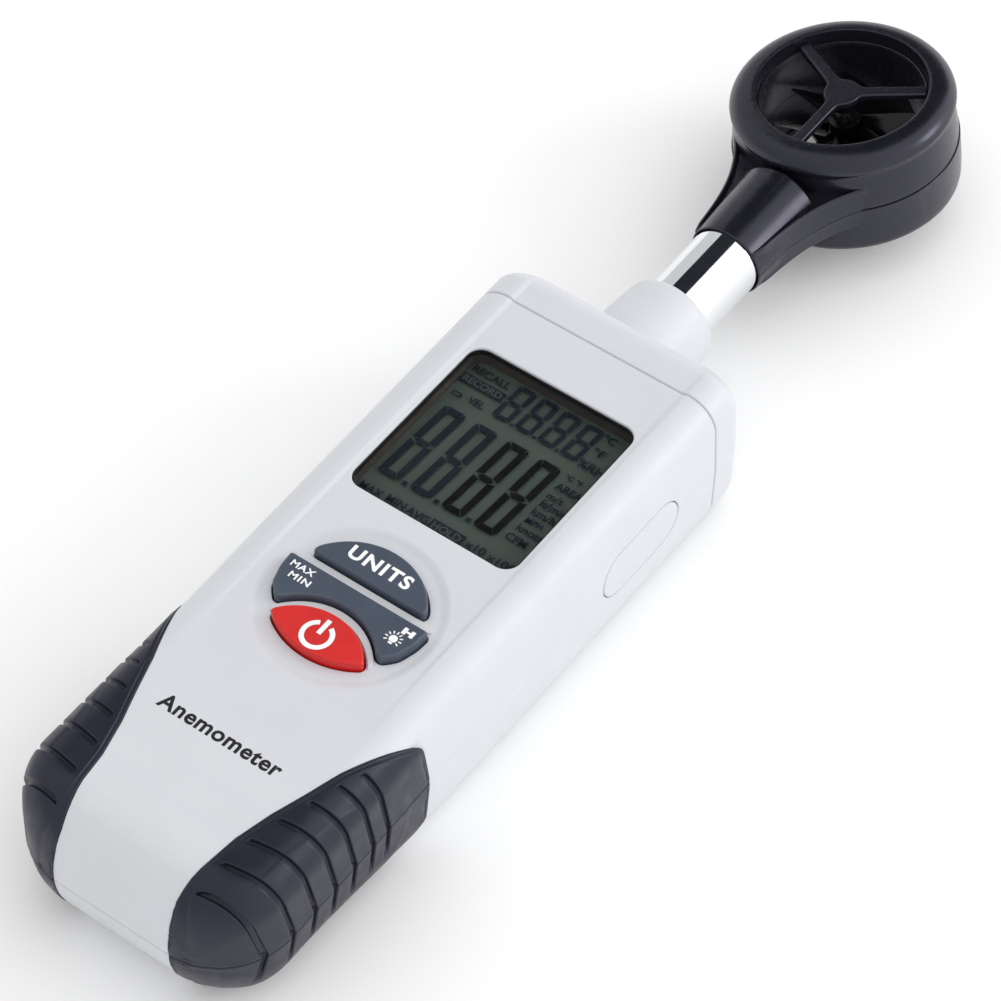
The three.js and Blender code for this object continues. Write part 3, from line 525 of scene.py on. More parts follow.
def surface(name, colour, roughness, metallic=0.0, mottling=0.03, patch=9.0, grain=0.35, grain_depth=0.01,
            grain_strength=0.25, wear=None, wear_amount=0.35, spread=0.05, specular=0.5, stretch=None,
            swell=0.02, **sockets):
    """A moulded, cast or drawn surface: patchy tone, uneven gloss, fine grain and rubbed edges."""
    n = Nodes(name)
    tone = n.mixed(n.ranged(n.noise(patch), 0, 1), scaled(colour, 1 - mottling),
                   scaled(colour, 1 + mottling))
    if wear:
        edge = n.ranged(n.add("ShaderNodeNewGeometry").outputs["Pointiness"], 0, wear_amount, (0.52, 0.62))
        tone = n.mixed(n.product(edge, n.ranged(n.noise(1.3), 0.2, 1)), tone, wear)
    n.link(tone, n.shader.inputs["Base Color"])
    n.link(n.ranged(n.noise(patch / 3), roughness - spread, roughness + spread),
           n.shader.inputs["Roughness"])
    fine = n.bump(n.noise(grain, stretch=stretch), grain_depth, grain_strength)
    n.link(n.bump(n.noise(patch * 1.5, 1.0), swell, 0.25, fine), n.shader.inputs["Normal"])
    n.shader.inputs["Metallic"].default_value = metallic
    n.shader.inputs["Specular IOR Level"].default_value = specular
    for key, value in sockets.items():
        n.shader.inputs[key.replace("_", " ")].default_value = value
    return n.material


SHELL = surface("shell_plastic", linear(206, 208, 213), 0.42, mottling=0.012, grain=0.22, grain_depth=0.006,
                wear=linear(216, 217, 218), wear_amount=0.3)
GRIP = surface("grip_rubber", linear(30, 31, 42), 0.38, mottling=0.1, grain=0.16, grain_depth=0.012,
               grain_strength=0.4, wear=linear(70, 72, 86), spread=0.06, specular=0.42,
               Specular_Tint=(0.8, 0.79, 1, 1))
GREY_KEY = surface("grey_key_plastic", linear(67, 77, 92), 0.42, mottling=0.05, grain=0.18,
                   wear=linear(98, 104, 116))
RED_KEY = surface("red_key_plastic", linear(208, 26, 22), 0.4, mottling=0.05, grain=0.18,
                  wear=linear(232, 84, 78))
PRINT_WHITE = surface("white_print", linear(240, 241, 243), 0.5, mottling=0.03, grain=0.1)
PRINT_BLACK = surface("black_print", linear(24, 24, 27), 0.5, mottling=0.1, grain=0.1)
CHROME = surface("chrome_plate", linear(236, 238, 241), 0.07, metallic=1.0, mottling=0.015, grain=0.5,
                 grain_depth=0.002, grain_strength=0.06, spread=0.03, stretch=(6, 0.3, 6))
HEAD = surface("head_plastic", linear(20, 20, 27), 0.27, mottling=0.12, grain=0.2, grain_depth=0.006,
               wear=linear(60, 61, 68), spread=0.03, specular=0.6, swell=0.008,
               Specular_Tint=(0.8, 0.79, 1, 1))
VANE = surface("vane_plastic", linear(12, 12, 14), 0.16, mottling=0.1, grain=0.3, grain_depth=0.003,
               wear=linear(30, 30, 34), spread=0.04, specular=0.3)
FERRITE = surface("ferrite_magnet", linear(44, 44, 47), 0.5, mottling=0.1, grain=0.25, grain_depth=0.02)
STEEL = surface("screw_steel", linear(150, 152, 156), 0.3, metallic=1.0, mottling=0.08, grain=0.12,
                wear=linear(210, 212, 214), stretch=(1, 8, 1))
BRASS = surface("turned_brass", linear(196, 160, 84), 0.28, metallic=1.0, mottling=0.08, grain=0.12,
                stretch=(1, 6, 1))
BLACK = surface("black_plastic", linear(28, 29, 31), 0.4, mottling=0.1, grain=0.2)
SILICONE = surface("silicone_rubber", linear(168, 172, 176), 0.62, mottling=0.04, grain=0.3)
GUIDE = surface("light_guide", linear(236, 238, 238), 0.35, mottling=0.02, grain=0.4)
BOARD = surface("circuit_board", linear(30, 92, 54), 0.42, mottling=0.12, grain=0.5, grain_depth=0.02,
                patch=2.5)
JACKET = surface("battery_jacket", linear(52, 55, 60), 0.32, metallic=0.35, mottling=0.08, grain=0.4)
RED_LEAD = surface("red_lead_jacket", linear(178, 30, 30), 0.45, mottling=0.08, grain=0.2)
CABLE = surface("cable_jacket", linear(32, 33, 36), 0.5, mottling=0.1, grain=0.2)
REFLECTOR = surface("lcd_reflector", linear(80, 93, 86), 0.55, mottling=0.05, grain=0.12, patch=14)
SEGMENT = surface("lcd_segment", linear(30, 40, 52), 0.4, mottling=0.08, grain=0.1)
DRIVEN = surface("lcd_driven_segment", linear(5, 7, 12), 0.4, mottling=0.08, grain=0.1)
EDGE = surface("window_edge", linear(76, 70, 66), 0.5, mottling=0.12, grain=0.3)
PANE = surface("window_pane", linear(12, 12, 14), 0.06, mottling=0.02, grain=0.8, grain_depth=0.001,
               grain_strength=0.05, spread=0.02, Alpha=0.12)

CAD_FINISH = {
    "backlight_guide": GUIDE, "lcd_connector": SILICONE, "main_board": BOARD, "controller_chip": BLACK,
    "sensor_header": GUIDE, "keypad_mat": SILICONE, "battery": JACKET, "battery_snap": BLACK,
    "positive_lead": RED_LEAD, "negative_lead": BLACK, "friction_ring": CABLE, "sensor_cable": CABLE,
    "tube_nut": BRASS, "front_bearing": BRASS, "rear_bearing": BRASS, "pickup_board": BOARD,
    "pickup_sensor": BLACK, "rotor_magnet": FERRITE, "rotor_shaft": STEEL,
}


def finish_cad_nodes():
    for node, material in CAD_FINISH.items():
        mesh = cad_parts[node].data
        mesh.materials.clear()
        mesh.materials.append(material)


# ---- grips ----
GRIP_EDGE = [(24.12, -62.35), (23.95, -62.7), (23.6, -63.7), (22.36, -67.35), (20.67, -71.67),
             (18.4, -77.4), (16.52, -83.6), (14.54, -89.6), (12.96, -96), (12.35, -101.5), (11.64, -105.3),
             (11.2, -108.2), (11.3, -110.5), (11.43, -111.5)]
PAD_EDGE = [(-74.8, 9.8), (-79, 11.6), (-83.2, 13.05), (-88.2, 14.1), (-93.8, 15), (-99.8, 15.3),
            (-104.9, 12.8), (-106.8, 10.6), (-107.7, 8.6), (-108.6, 2), (-108.9, -1)]
PAD_TOP = {"length": 6.4, "reach": 9.8, "y": -74.8}
GROOVES = [-73.65, -77.51, -82.14, -86.95, -91.99, -97.38, -102.9]
GROOVE = {"half": 0.62, "wall": 0.16, "depth": 0.8, "start": 1.75, "first_slope": 0.118, "slope_step": 0.01}
GRIP_SINK = 1.1
GRIP_LEVEL = {"foot": -0.35, "rim": 0.2, "field": 0.3, "pad": 0.4}
GRIP_RIM = {"round": 0.25, "step": (0.78, 0.96), "line": 0.72, "line_width": 0.09, "line_depth": 0.09}
GRIP_SEAM = {"depth": 0.3, "width": 0.32}


def edge_x(y):
    """Plan curve of a grip's inner edge."""
    xs, ys = zip(*reversed(GRIP_EDGE))
    return np.interp(y, ys, xs)


def row_slope(v):
    """How far a row of the grip leans towards the handle end for each mm of reach round the body."""
    slopes = [GROOVE["first_slope"] + GROOVE["slope_step"] * i for i in range(len(GROOVES))]
    knots = [-111.45, -107, *reversed(GROOVES), -66, -62]
    values = [0, 0.09, *reversed(slopes), 0.05, 0]
    return np.interp(v, knots, values)


def skin_point(y, s, front):
    """The body's skin at arc length s from the parting line, towards the front or the rear."""
    half, front_height, rear_height = body_size(y)
    height = front_height + shoulder_at(y) if front else rear_height
    radius = np.minimum(FRONT_RADIUS if front else rear_radius_at(y), 0.85 * height)
    wall = np.maximum(height - radius, 1e-6)
    bend = math.pi / 2 * radius
    on_wall = np.clip(s / wall, 0, 1)
    a = np.clip((s - wall) / np.maximum(radius, 1e-6), 0, math.pi / 2)
    flat = np.maximum(s - wall - bend, 0)
    x = half - DRAFT * on_wall - radius * (1 - np.cos(a)) - flat
    z = wall * on_wall + radius * np.sin(a)
    return np.stack([x, y + 0 * s, PARTING_Z + z * (1 if front else -1)], -1)


def skin_normal(y, s, front):
    step = 0.01
    along = skin_point(y + step, s, front) - skin_point(y - step, s, front)
    around = skin_point(y, s + step, front) - skin_point(y, s - step, front)
    normal = np.cross(around, along) * (-1 if front else 1)
    return normal / np.maximum(np.linalg.norm(normal, axis=-1), 1e-9)[..., None]


def grip_rows():
    """The y of each row on the parting line, closer together at the tip, the grooves and the end."""
    rows = list(-62.36 - 0.12 * np.arange(14))
    rows += list(np.arange(-64.4, -72.6, -0.55))
    for i, middle in enumerate(GROOVES):
        for offset in (0, 0.2, 0.4, 0.48, 0.54, 0.6, 0.66, 0.9):
            rows += [middle - offset, middle + offset]
        until = GROOVES[i + 1] + 1.1 if i + 1 < len(GROOVES) else -107.5
        rows += list(np.arange(middle - 1.4, until, -0.6))
    rows += list(np.linspace(-107.6, -110.6, 11))
    rows += [ROUND_Y - END_ROUND * math.sin(math.radians(a))
             for a in (68, 71, 74, 77, 79.5, 82, 84, 85.5, 87)]
    return np.array(sorted(set(np.round([r for r in rows if r > HANDLE_END + 0.01], 4)), reverse=True))


def edge_reach(rows, front):
    """Arc length from the parting line to the grip's edge on each row."""
    s = np.linspace(0, 32, 1281)
    y = rows[:, None] - row_slope(rows)[:, None] * s[None, :]
    y = np.maximum(y, HANDLE_END + 0.001)
    outside = skin_point(y, np.broadcast_to(s, y.shape), front)[..., 0] <= edge_x(y)
    first = np.argmax(outside, axis=1)
    return s[first]


def grip_columns(reach, middle):
    """Arc lengths along a row: close together at the parting line, at the pad's edge and at the rim."""
    shrink = min(1, reach / 7)
    edge = reach - shrink * np.array([0, .07, .15, .25, .42, .6, .7, .78, .86, .95, 1.1, 1.35, 1.55, 1.65,
                                      1.75, 1.85, 2, 2.2, 2.5, 3])
    parting = shrink * np.array([0.06, 0.12, 0.2, 0.32, 0.6])
    middle = min(max(middle, 0.25 * reach), reach - 4 * shrink)
    fold = middle + shrink * np.array([-0.5, -0.3, -0.15, 0, 0.15, 0.3, 0.5])
    low = np.linspace(parting[-1], fold[0], 15)[1:-1]
    high = np.linspace(fold[-1], edge[-1], 8)[1:-1]
    return np.sort(np.concatenate([parting, low, fold, high, edge]))


def quarter_round(t):
    """Rise of a quarter circle from 0 at t = 0 to 1 at t = 1."""
    return np.sqrt(np.clip(1 - (1 - np.clip(t, 0, 1)) ** 2, 0, 1))


def groove_depth(rows, s, reach, front):
    depth = np.zeros_like(s)
    for middle in GROOVES:
        start = np.interp(middle, rows[::-1], reach[::-1]) - GROOVE["start"] - GROOVE["half"]
        across = np.abs(rows[:, None] - middle)
        beyond = np.maximum(s - start, 0)
        distance = np.hypot(across, beyond)
        part = 1 - smoothstep(distance, GROOVE["half"] - GROOVE["wall"], GROOVE["half"])
        if not front:
            part = part * (1 - smoothstep(s, 4.4, 6.2))
        depth = np.maximum(depth, part * GROOVE["depth"])
    return depth


def grip(front):
    """One right-hand grip: a rubber skin that follows the body, with its rim, raised pad and grooves."""
    rows = grip_rows()
    reach = edge_reach(rows, front)
    pad_y, pad_s = zip(*reversed(PAD_EDGE))
    s = np.array([grip_columns(r, float(np.interp(v, pad_y, pad_s))) for v, r in zip(rows, reach)])
    y = np.maximum(rows[:, None] - row_slope(rows)[:, None] * s, HANDLE_END + 0.001)
    edge_y = rows - row_slope(rows) * reach
    fine_y = np.linspace(edge_y[0], edge_y[-1], 500)
    fine_s = np.interp(-fine_y, -edge_y, reach)
    to_edge = np.full(s.shape, 1e9)
    for ey, es in zip(fine_y, fine_s):
        to_edge = np.minimum(to_edge, np.hypot(y - ey, s - es))
    level, rim = GRIP_LEVEL, GRIP_RIM
    height = level["foot"] + (level["rim"] - level["foot"]) * quarter_round(to_edge / rim["round"])
    height += (level["field"] - level["rim"]) * smoothstep(to_edge, *rim["step"])
    height -= rim["line_depth"] * np.exp(-(((to_edge - rim["line"]) / rim["line_width"]) ** 2))
    inside = np.interp(y, pad_y, pad_s) - s
    on_top = (1 - np.hypot((y - PAD_TOP["y"]) / PAD_TOP["length"], s / PAD_TOP["reach"])) * 6
    inside = np.where(y > PAD_TOP["y"], on_top, inside)
    height += (level["pad"] - level["field"]) * smoothstep(inside, -0.3, 0.3)
    height -= groove_depth(rows, s, reach, front)
    height -= GRIP_SEAM["depth"] * (1 - quarter_round(s / GRIP_SEAM["width"]))
    normal = skin_normal(y, s, front)
    base = skin_point(y, s, front)
    outer = base + normal * height[..., None]
    inner = base - normal * GRIP_SINK
    for layer in (outer, inner):
        layer[..., 0] = np.minimum(layer[..., 0], GRIP_HIGH.x - 0.01)
        layer[..., 1] = np.maximum(layer[..., 1], GRIP_LOW.y + 0.01)
        layer[..., 2] = np.maximum(layer[..., 2], 0.02)
        limit = PARTING_Z + PARTING_GAP / 2 * (1 if front else -1)
        layer[..., 2] = np.maximum(layer[..., 2], limit) if front else np.minimum(layer[..., 2], limit)
    return two_sided(outer, inner)


def two_sided(outer, inner):
    """A closed solid from two grids of the same shape."""
    rows, columns = outer.shape[:2]
    size = rows * columns
    faces = []
    for i in range(rows - 1):
        for j in range(columns - 1):
            a, d = i * columns + j, (i + 1) * columns + j
            b, c = a + 1, d + 1
            faces.append([a, b, c, d])
            faces.append([size + d, size + c, size + b, size + a])
    border = list(range(columns)) + [i * columns + columns - 1 for i in range(1, rows)]
    border += [(rows - 1) * columns + j for j in range(columns - 2, -1, -1)]
    border += [i * columns for i in range(rows - 2, 0, -1)]
    for a, b in zip(border, border[1:] + border[:1]):
        faces.append([b, a, size + a, size + b])
    return solid(np.vstack([outer.reshape(-1, 3), inner.reshape(-1, 3)]), faces)


def grip_pocket():
    """Cutter for the recess under the right-hand grips."""
    plan = [(40, -62.3), *[(x - 0.05, y) for x, y in GRIP_EDGE], (11.4, -130), (40, -130)]
    block = loft([[(x, y, z) for x, y in plan] for z in (-10, 40)])
    return cut(block, body_solid(-GRIP_SINK - 0.06, y1=-40))


# ---- case ----
def window_outline(growth=0.0):
    w = WINDOW
    outline = rectangle(w["half_width"], w["y"] - w["half_length"], w["y"] + w["half_length"], w["radius"])
    return grown(outline, growth)


def plug_ring(growth, x_offset, steps=14):
    """The oval of a side plug, laid on the draughted side wall and moved in by x_offset."""
    y = (PLUG_LOW.y + PLUG_HIGH.y) / 2
    half_height = 4.8
    straight = 10.35 - half_height
    ring = []
    for centre, start in ((straight, -90), (-straight, 90)):
        for i in range(steps + 1):
            a = math.radians(start + 180 * i / steps)
            ring.append((y + centre + (half_height + growth) * math.cos(a),
                         (half_height + growth) * math.sin(a)))
    half = body_size(np.array([p[0] for p in ring]))[0]
    wall = FACE_Z + SHOULDER - FRONT_RADIUS - PARTING_Z
    return [(h - DRAFT * abs(dz) / wall - x_offset, py, PARTING_Z + dz) for (py, dz), h in zip(ring, half)]


def side_plug():
    levels = [(0, 2.3), (0, 0.22), (-0.06, 0.08), (-0.2, 0), (-1.2, 0), (-2.4, 0), (-3.6, 0), (-4.7, 0)]
    rings = [plug_ring(grow, depth) for grow, depth in levels]
    return loft(rings)


def plug_hole():
    levels = [(0.16, 6), (0.16, 0.2), (0.24, 0.06), (0.4, -0.02), (0.4, -2)]
    return loft([plug_ring(grow, depth) for grow, depth in levels])


def dish():
    """Cutter for the shallow round hollow about the keys, which leaves the webs between them standing."""
    d = DISH
    outer, inner = d["radius"], d["radius"] - d["slope"]
    profile = [(0, d["floor"])]
    for i in range(9):
        t = i / 8
        profile.append((inner + (outer - inner) * t,
                        d["floor"] + (FACE_Z - d["floor"]) * t * t * (3 - 2 * t)))
    profile += [(outer + 0.05, FACE_Z + 0.6), (0, FACE_Z + 0.6)]
    tool = lathe(profile, sides=144, at=(0, d["y"], 0))
    upper, lower = UNITS_KEY["y"] - KEY_GAP, MODE_KEY["y"] + KEY_GAP
    middle = (upper + lower) / 2
    bar = [(-13.6, middle), (-12.8, lower), (12.8, lower), (13.6, middle), (12.8, upper), (-12.8, upper)]
    k = MODE_KEY
    over = arc(k["inner"] + 0.5, k["tip"][1] - 0.9, k["rise"] + 1.2 - KEY_GAP)
    under = arc(POWER_KEY["half"] + 0.9, POWER_KEY["y"] - 0.4, POWER_KEY["upper"] + 0.4 + KEY_GAP)
    bow = softened(over + list(reversed(under))[1:-1], 0.35)
    levels = [(20, 0), (FACE_Z - 0.15, 0), (FACE_Z - 0.04, -0.06), (FACE_Z + 0.001, -0.16),
              (FACE_Z + 0.002, -0.17)]
    return cut(tool, stacked(softened(bar, 0.4), levels), stacked(bow, levels))


def key_wells():
    level = DISH["floor"]
    return [opening(grown(outline, KEY_GAP), 20, level, 0.16)
            for outline in (units_outline(), mode_outline(), power_outline())]


def shell_blank():
    outer = body_solid(0, y1=SEAM_Y - SEAM_GAP / 2, notch=0.13, end_round=0.3)
    hollow = body_solid(-WALL, y1=CAP_END - 2, notch=0)
    return cut(outer, hollow, grip_pocket(), moved(grip_pocket(), MIRROR_X),
               plug_hole(), moved(plug_hole(), MIRROR_X))


def at_screws(radius, low, high, sides):
    return [cylinder(radius, low, high, sides, (x, y, 0)) for x, y in SCREWS]


def posts(*sizes):
    return [common(post, body_solid(-0.5)) for post in at_screws(*sizes)]


def front_case():
    shell = cut(shell_blank(), box(-FAR, FAR, -2 * FAR, FAR, -10, PARTING_Z + PARTING_GAP / 2))
    shell = join(shell, *posts(2.8, PARTING_Z + 0.1, FACE_Z - 1, 32))
    holes = at_screws(1.7, 0, FACE_Z - 5, 24)
    return cut(shell, *holes, opening(window_outline(), 20, FACE_Z, 0.32), dish(), *key_wells())


def rear_case():
    shell = cut(shell_blank(), box(-FAR, FAR, -2 * FAR, FAR, PARTING_Z - PARTING_GAP / 2, 60))
    cradle, rib, y0, y1, y_stop = 13.95, 1.4, DOOR["y"][0], -20.5, -19.3
    ribs = [box(-cradle - rib, -cradle, y0, y_stop, 1, 11), box(cradle, cradle + rib, y0, y_stop, 1, 11),
            box(-cradle, cradle, y1, y_stop, 1, 11)]
    shell = join(shell, *posts(3.8, 0, PARTING_Z - 0.15, 40), *ribs)
    sink = [(0, -1), (3.3, -1), (3.3, 0), *rounded(3.3, 0, 3.0, 0.3), (3.0, 3.4), (0, 3.4)]
    bores = at_screws(1.7, 3, 20, 24) + [lathe(sink, sides=40, at=(x, y, 0)) for x, y in SCREWS]
    half = DOOR_HALF + DOOR["gap"]
    seat = stacked(rectangle(half, y0 - DOOR["room"], DOOR["y"][1] + DOOR["gap"], 1.3),
                   [(-1, 0.25), (0, 0.25), (0.08, 0.1), (0.25, 0), (1.95, 0)])
    return cut(shell, seat, box(-cradle + 0.01, cradle - 0.01, -74.5, -23, -1, 6),
               box(-9, 9, -20, -15.6, 0.55, 1.95), *bores)


def battery_door():
    y0, y1 = DOOR["y"]
    levels = [(0, -0.25), (0.07, -0.08), (0.25, 0), (1.45, 0), (1.65, -0.2)]
    panel = stacked(rectangle(15.5, y0, y1, 1.2), levels)
    tongue = stacked(rectangle(8.5, -20, -16, 0.5), [(0.85, -0.1), (0.95, 0), (1.45, 0), (1.55, -0.1)])
    door = join(panel, tongue)
    grooves = []
    for i in range(5):
        y = y0 + 4 + 2 * i
        grooves.append(stacked(rectangle(7 - i, y, y + 1, 0.45),
                               [(-0.5, 0.12), (0, 0.12), (0.12, 0), (0.4, -0.08), (0.5, -0.25)]))
    return cut(door, *grooves)


def end_cap():
    whole = body_solid(0, y0=SEAM_Y + SEAM_GAP / 2, start_round=0.3)
    lip = cut(body_solid(-0.34, y0=SEAM_Y - SEAM_GAP / 2 + 0.03, y1=18),
              body_solid(-WALL - 0.2, y0=10, y1=20))
    foot, fillet = 10.5, 1.15
    profile = [(0, CAP_END - 2), (foot, CAP_END - 2), (foot, CAP_END - 0.01)]
    for i in range(1, 7):
        a = math.pi / 2 * i / 6
        profile.append((foot - fillet * math.sin(a), CAP_END + fillet * (1 - math.cos(a))))
    profile += [(9.1, 30), (8.62, 35.9), *rounded(8.6, 35.95, 6.95, 37.8, 8), (0, 37.8)]
    on_tube = (0, 0, TUBE_Z)
    cap = join(whole, lathe(profile, "y", 96, on_tube))
    spigot = body_solid(-WALL - 0.3, y0=14.3, y1=18)
    cap = cut(cap, body_solid(-WALL, y0=10, y1=CAP_END - WALL))
    spigot = join(spigot, body_solid(-WALL + 0.1, y0=SEAM_Y + SEAM_GAP / 2, y1=18))
    spigot = cut(spigot, body_solid(-WALL - 1.4, y0=13, y1=20))
    inside = [(0, 10), (6.9, 10), (6.9, 37.5), (7.05, 37.655), (7.2, 37.81), (7.25, 40), (0, 40)]
    bore = lathe(inside, "y", 72, on_tube)
    groove = cylinder(8.1, 29.6, 31.8, 72, on_tube, "y")
    return cut(join(cap, spigot, lip), bore, groove)


def add_case():
    piece(front_case(), "case_front", "case", SHELL, ["front_case"])
    piece(rear_case(), "case_rear", "case", SHELL, ["rear_case"])
    piece(end_cap(), "case_end_cap", "case", SHELL, ["end_cap"])
    piece(battery_door(), "door_plate", "battery_door", SHELL, ["battery_door"])
    for front, word in ((True, "front"), (False, "rear")):
        right = grip(front)
        for side, made in (("right", right), ("left", copied(right, MIRROR_X))):
            nodes = [f"{word}_grip_{side}"]
            piece(made, f"grip_{word}_{side}", "case", GRIP, nodes, sharp=60, weighted=False)
    plug = side_plug()
    left = copied(plug, MIRROR_X)
    piece(plug, "plug_right", "case", SHELL, ["side_plug_right"])
    piece(left, "plug_left", "case", SHELL, ["side_plug_left"])
    for i, (x, y) in enumerate(SCREWS):
        name = f"case_screw_{i + 1}"
        piece(screw(x, y, 0.9, 2.6, 2.2, FACE_Z - 6.5), f"{name}_fine", "case", STEEL,
              [name])


def screw(x, y, head_z, head_radius, head_height, tip_z, shank=1.35):
    """A pan-head screw whose head faces -z, with a cross recess."""
    profile = [(0, head_z), (head_radius * 0.6, head_z + 0.05), (head_radius * 0.88, head_z + 0.3),
               (head_radius, head_z + 0.8), (head_radius, head_z + head_height),
               (shank, head_z + head_height)]
    thread_z = head_z + head_height + 0.6
    while thread_z < tip_z - 1.2:
        profile += [(shank, thread_z), (shank - 0.22, thread_z + 0.35), (shank, thread_z + 0.7)]
        thread_z += 0.9
    profile += [(shank - 0.2, tip_z - 0.8), (0, tip_z)]
    arm, half = head_radius * 0.55, head_radius * 0.14
    cross = [box(x - arm, x + arm, y - half, y + half, head_z - 1, head_z + 1),
             box(x - half, x + half, y - arm, y + arm, head_z - 1, head_z + 1)]
    return cut(lathe(profile, sides=40, at=(x, y, 0)), *cross)


# ---- lettering ----
def lettering(text, x, y, width, height, z, thickness=0.03, bold=0.0, spacing=1.0):
    """Plain lettering whose capitals fill a width and height, as a thin solid lying on z."""
    curve = bpy.data.curves.new("work", "FONT")
    curve.body = text
    curve.offset = bold
    curve.space_character = spacing
    curve.resolution_u = 6
    maker = linked("work", curve)
    depsgraph = bpy.context.evaluated_depsgraph_get()
    mesh = bpy.data.meshes.new_from_object(maker.evaluated_get(depsgraph))
    bpy.data.objects.remove(maker)
    points = np.array([v.co for v in mesh.vertices], float)
    low, high = points.min(0), points.max(0)
    kx, ky = width / (high[0] - low[0]), height / (high[1] - low[1])
    bm = bmesh.new()
    bm.from_mesh(mesh)
    for v in bm.verts:
        v.co = (x + (v.co.x - low[0]) * kx, y + (v.co.y - low[1]) * ky, z)
    made = bmesh.ops.extrude_face_region(bm, geom=bm.faces[:])
    bmesh.ops.translate(bm, verts=[g for g in made["geom"] if isinstance(g, bmesh.types.BMVert)],
                        vec=(0, 0, thickness))
    bmesh.ops.recalc_face_normals(bm, faces=bm.faces)
    bm.to_mesh(mesh)
    bm.free()
    return linked("work", mesh)


def plate(points, z, thickness=0.03):
    return loft([[(x, y, z) for x, y in points], [(x, y, z + thickness) for x, y in points]])


SEGMENT_Z = 25.3
LCD_SLANT = 0.05


def lcd_plate(points, x, y, thickness=0.03):
    """One mark of the display, which leans like its digits."""
    return plate([(x + u + LCD_SLANT * v, y + v) for u, v in points], SEGMENT_Z, thickness)


def lcd_patch(x, y, width, height, thickness=0.03):
    return lcd_plate([(0, 0), (width, 0), (width, height), (0, height)], x, y, thickness)


def digit(x, y, width, height, stroke):
    """Seven segments; x, y is the lower left corner."""
    w, h, t, g = width, height, stroke, 0.1
    m = h / 2
    cap = [(g + 0.1 * w, h), (w - g - 0.1 * w, h), (w - t - 0.2 * g, h - t), (t + 0.2 * g, h - t)]
    side = [(0, h - 0.55 * t), (0.07 * w, h - g), (t, h - t - g), (t, m + 0.6 * t), (0, m + 0.25 * t)]
    bar = [(t * 0.55, m), (t + g, m + t / 2), (w - t - g, m + t / 2), (w - 0.55 * t, m),
           (w - t - g, m - t / 2), (t + g, m - t / 2)]
    shapes = [cap, [(u, h - v) for u, v in cap], bar]
    for u_sign in (0, 1):
        for v_sign in (0, 1):
            shapes.append([(w - u if u_sign else u, h - v if v_sign else v) for u, v in side])
    return [lcd_plate(shape, x, y) for shape in shapes]


def lcd_marks():
    marks, driven = [], []
    z = SEGMENT_Z
    large, small = 6.42, 4.57  # pitch of the digits
    for i in range(4):
        group = driven if i > 1 else marks
        group += digit(-15.15 + large * i, -25.0, 4.35, 17.6, 1.25)
        marks += digit(-7.15 + small * i, -4.7, 3.45, 7.9, 0.82)
        if i < 3:
            marks.append(lcd_patch(-10.2 + large * i, -25.1, 0.9, 0.9))
            marks.append(lcd_patch(-3.35 + small * i, -4.8, 0.55, 0.55))
    words = [
        ("RECALL", -15.4, 1.0, 7.4, 1.55), ("VEL", -12.1, -4.9, 3.2, 1.5), ("°C", 10.7, 1.5, 2.5, 1.6),
        ("°F", 10.9, -1.8, 2.3, 1.7), ("%RH", 10.4, -5.2, 5.0, 1.8), ("°C °F", 10.5, -8.6, 3.2, 1.1),
        ("AREA", 10.3, -11.2, 5.0, 1.5), ("m/s", 10.4, -13.5, 3.0, 1.3), ("ft/min", 10.3, -15.6, 5.2, 1.6),
        ("km/h", 10.3, -17.7, 4.5, 1.6), ("MPH", 10.5, -19.6, 3.2, 1.2), ("knots", 10.3, -21.7, 5.0, 1.5),
        ("CFM", 9.8, -24.2, 4.0, 1.6), ("MAX", -15.5, -29.6, 4.4, 1.6), ("MIN", -10.3, -29.3, 3.7, 1.6),
        ("AVG", -6.2, -29.4, 4.3, 1.6), ("x10", 5.6, -29.3, 3.8, 1.6), ("x100", 10.0, -29.4, 5.2, 1.6),
    ]
    for text, x, y, width, height in words:
        marks.append(lettering(text, x, y, width, height, z, bold=0.02))
    marks += [lcd_patch(-16.1, -1.75, 8.6, 1.95, 0.025), lcd_patch(-1.6, -29.7, 6.6, 2.1, 0.025)]
    reversed_marks = [lettering("RECORD", -15.6, -1.45, 7.7, 1.35, z + 0.03, bold=0.014),
                      lettering("HOLD", -1.0, -29.4, 5.5, 1.45, z + 0.03, bold=0.014)]
    battery = [(0, 0), (1.7, 0), (1.7, 0.25), (1.9, 0.25), (1.9, 0.75), (1.7, 0.75), (1.7, 1), (0, 1)]
    marks.append(cut(lcd_plate(battery, -15.2, -5.0), box(-14.95, -13.75, -4.8, -4.2, z - 1, z + 1)))
    return merged(marks), merged(driven), merged(reversed_marks)


def window_ring(outside, levels, inside):
    hole = stacked(window_outline(inside), [(24, 0), (29, 0)])
    return cut(stacked(window_outline(outside), levels), hole)


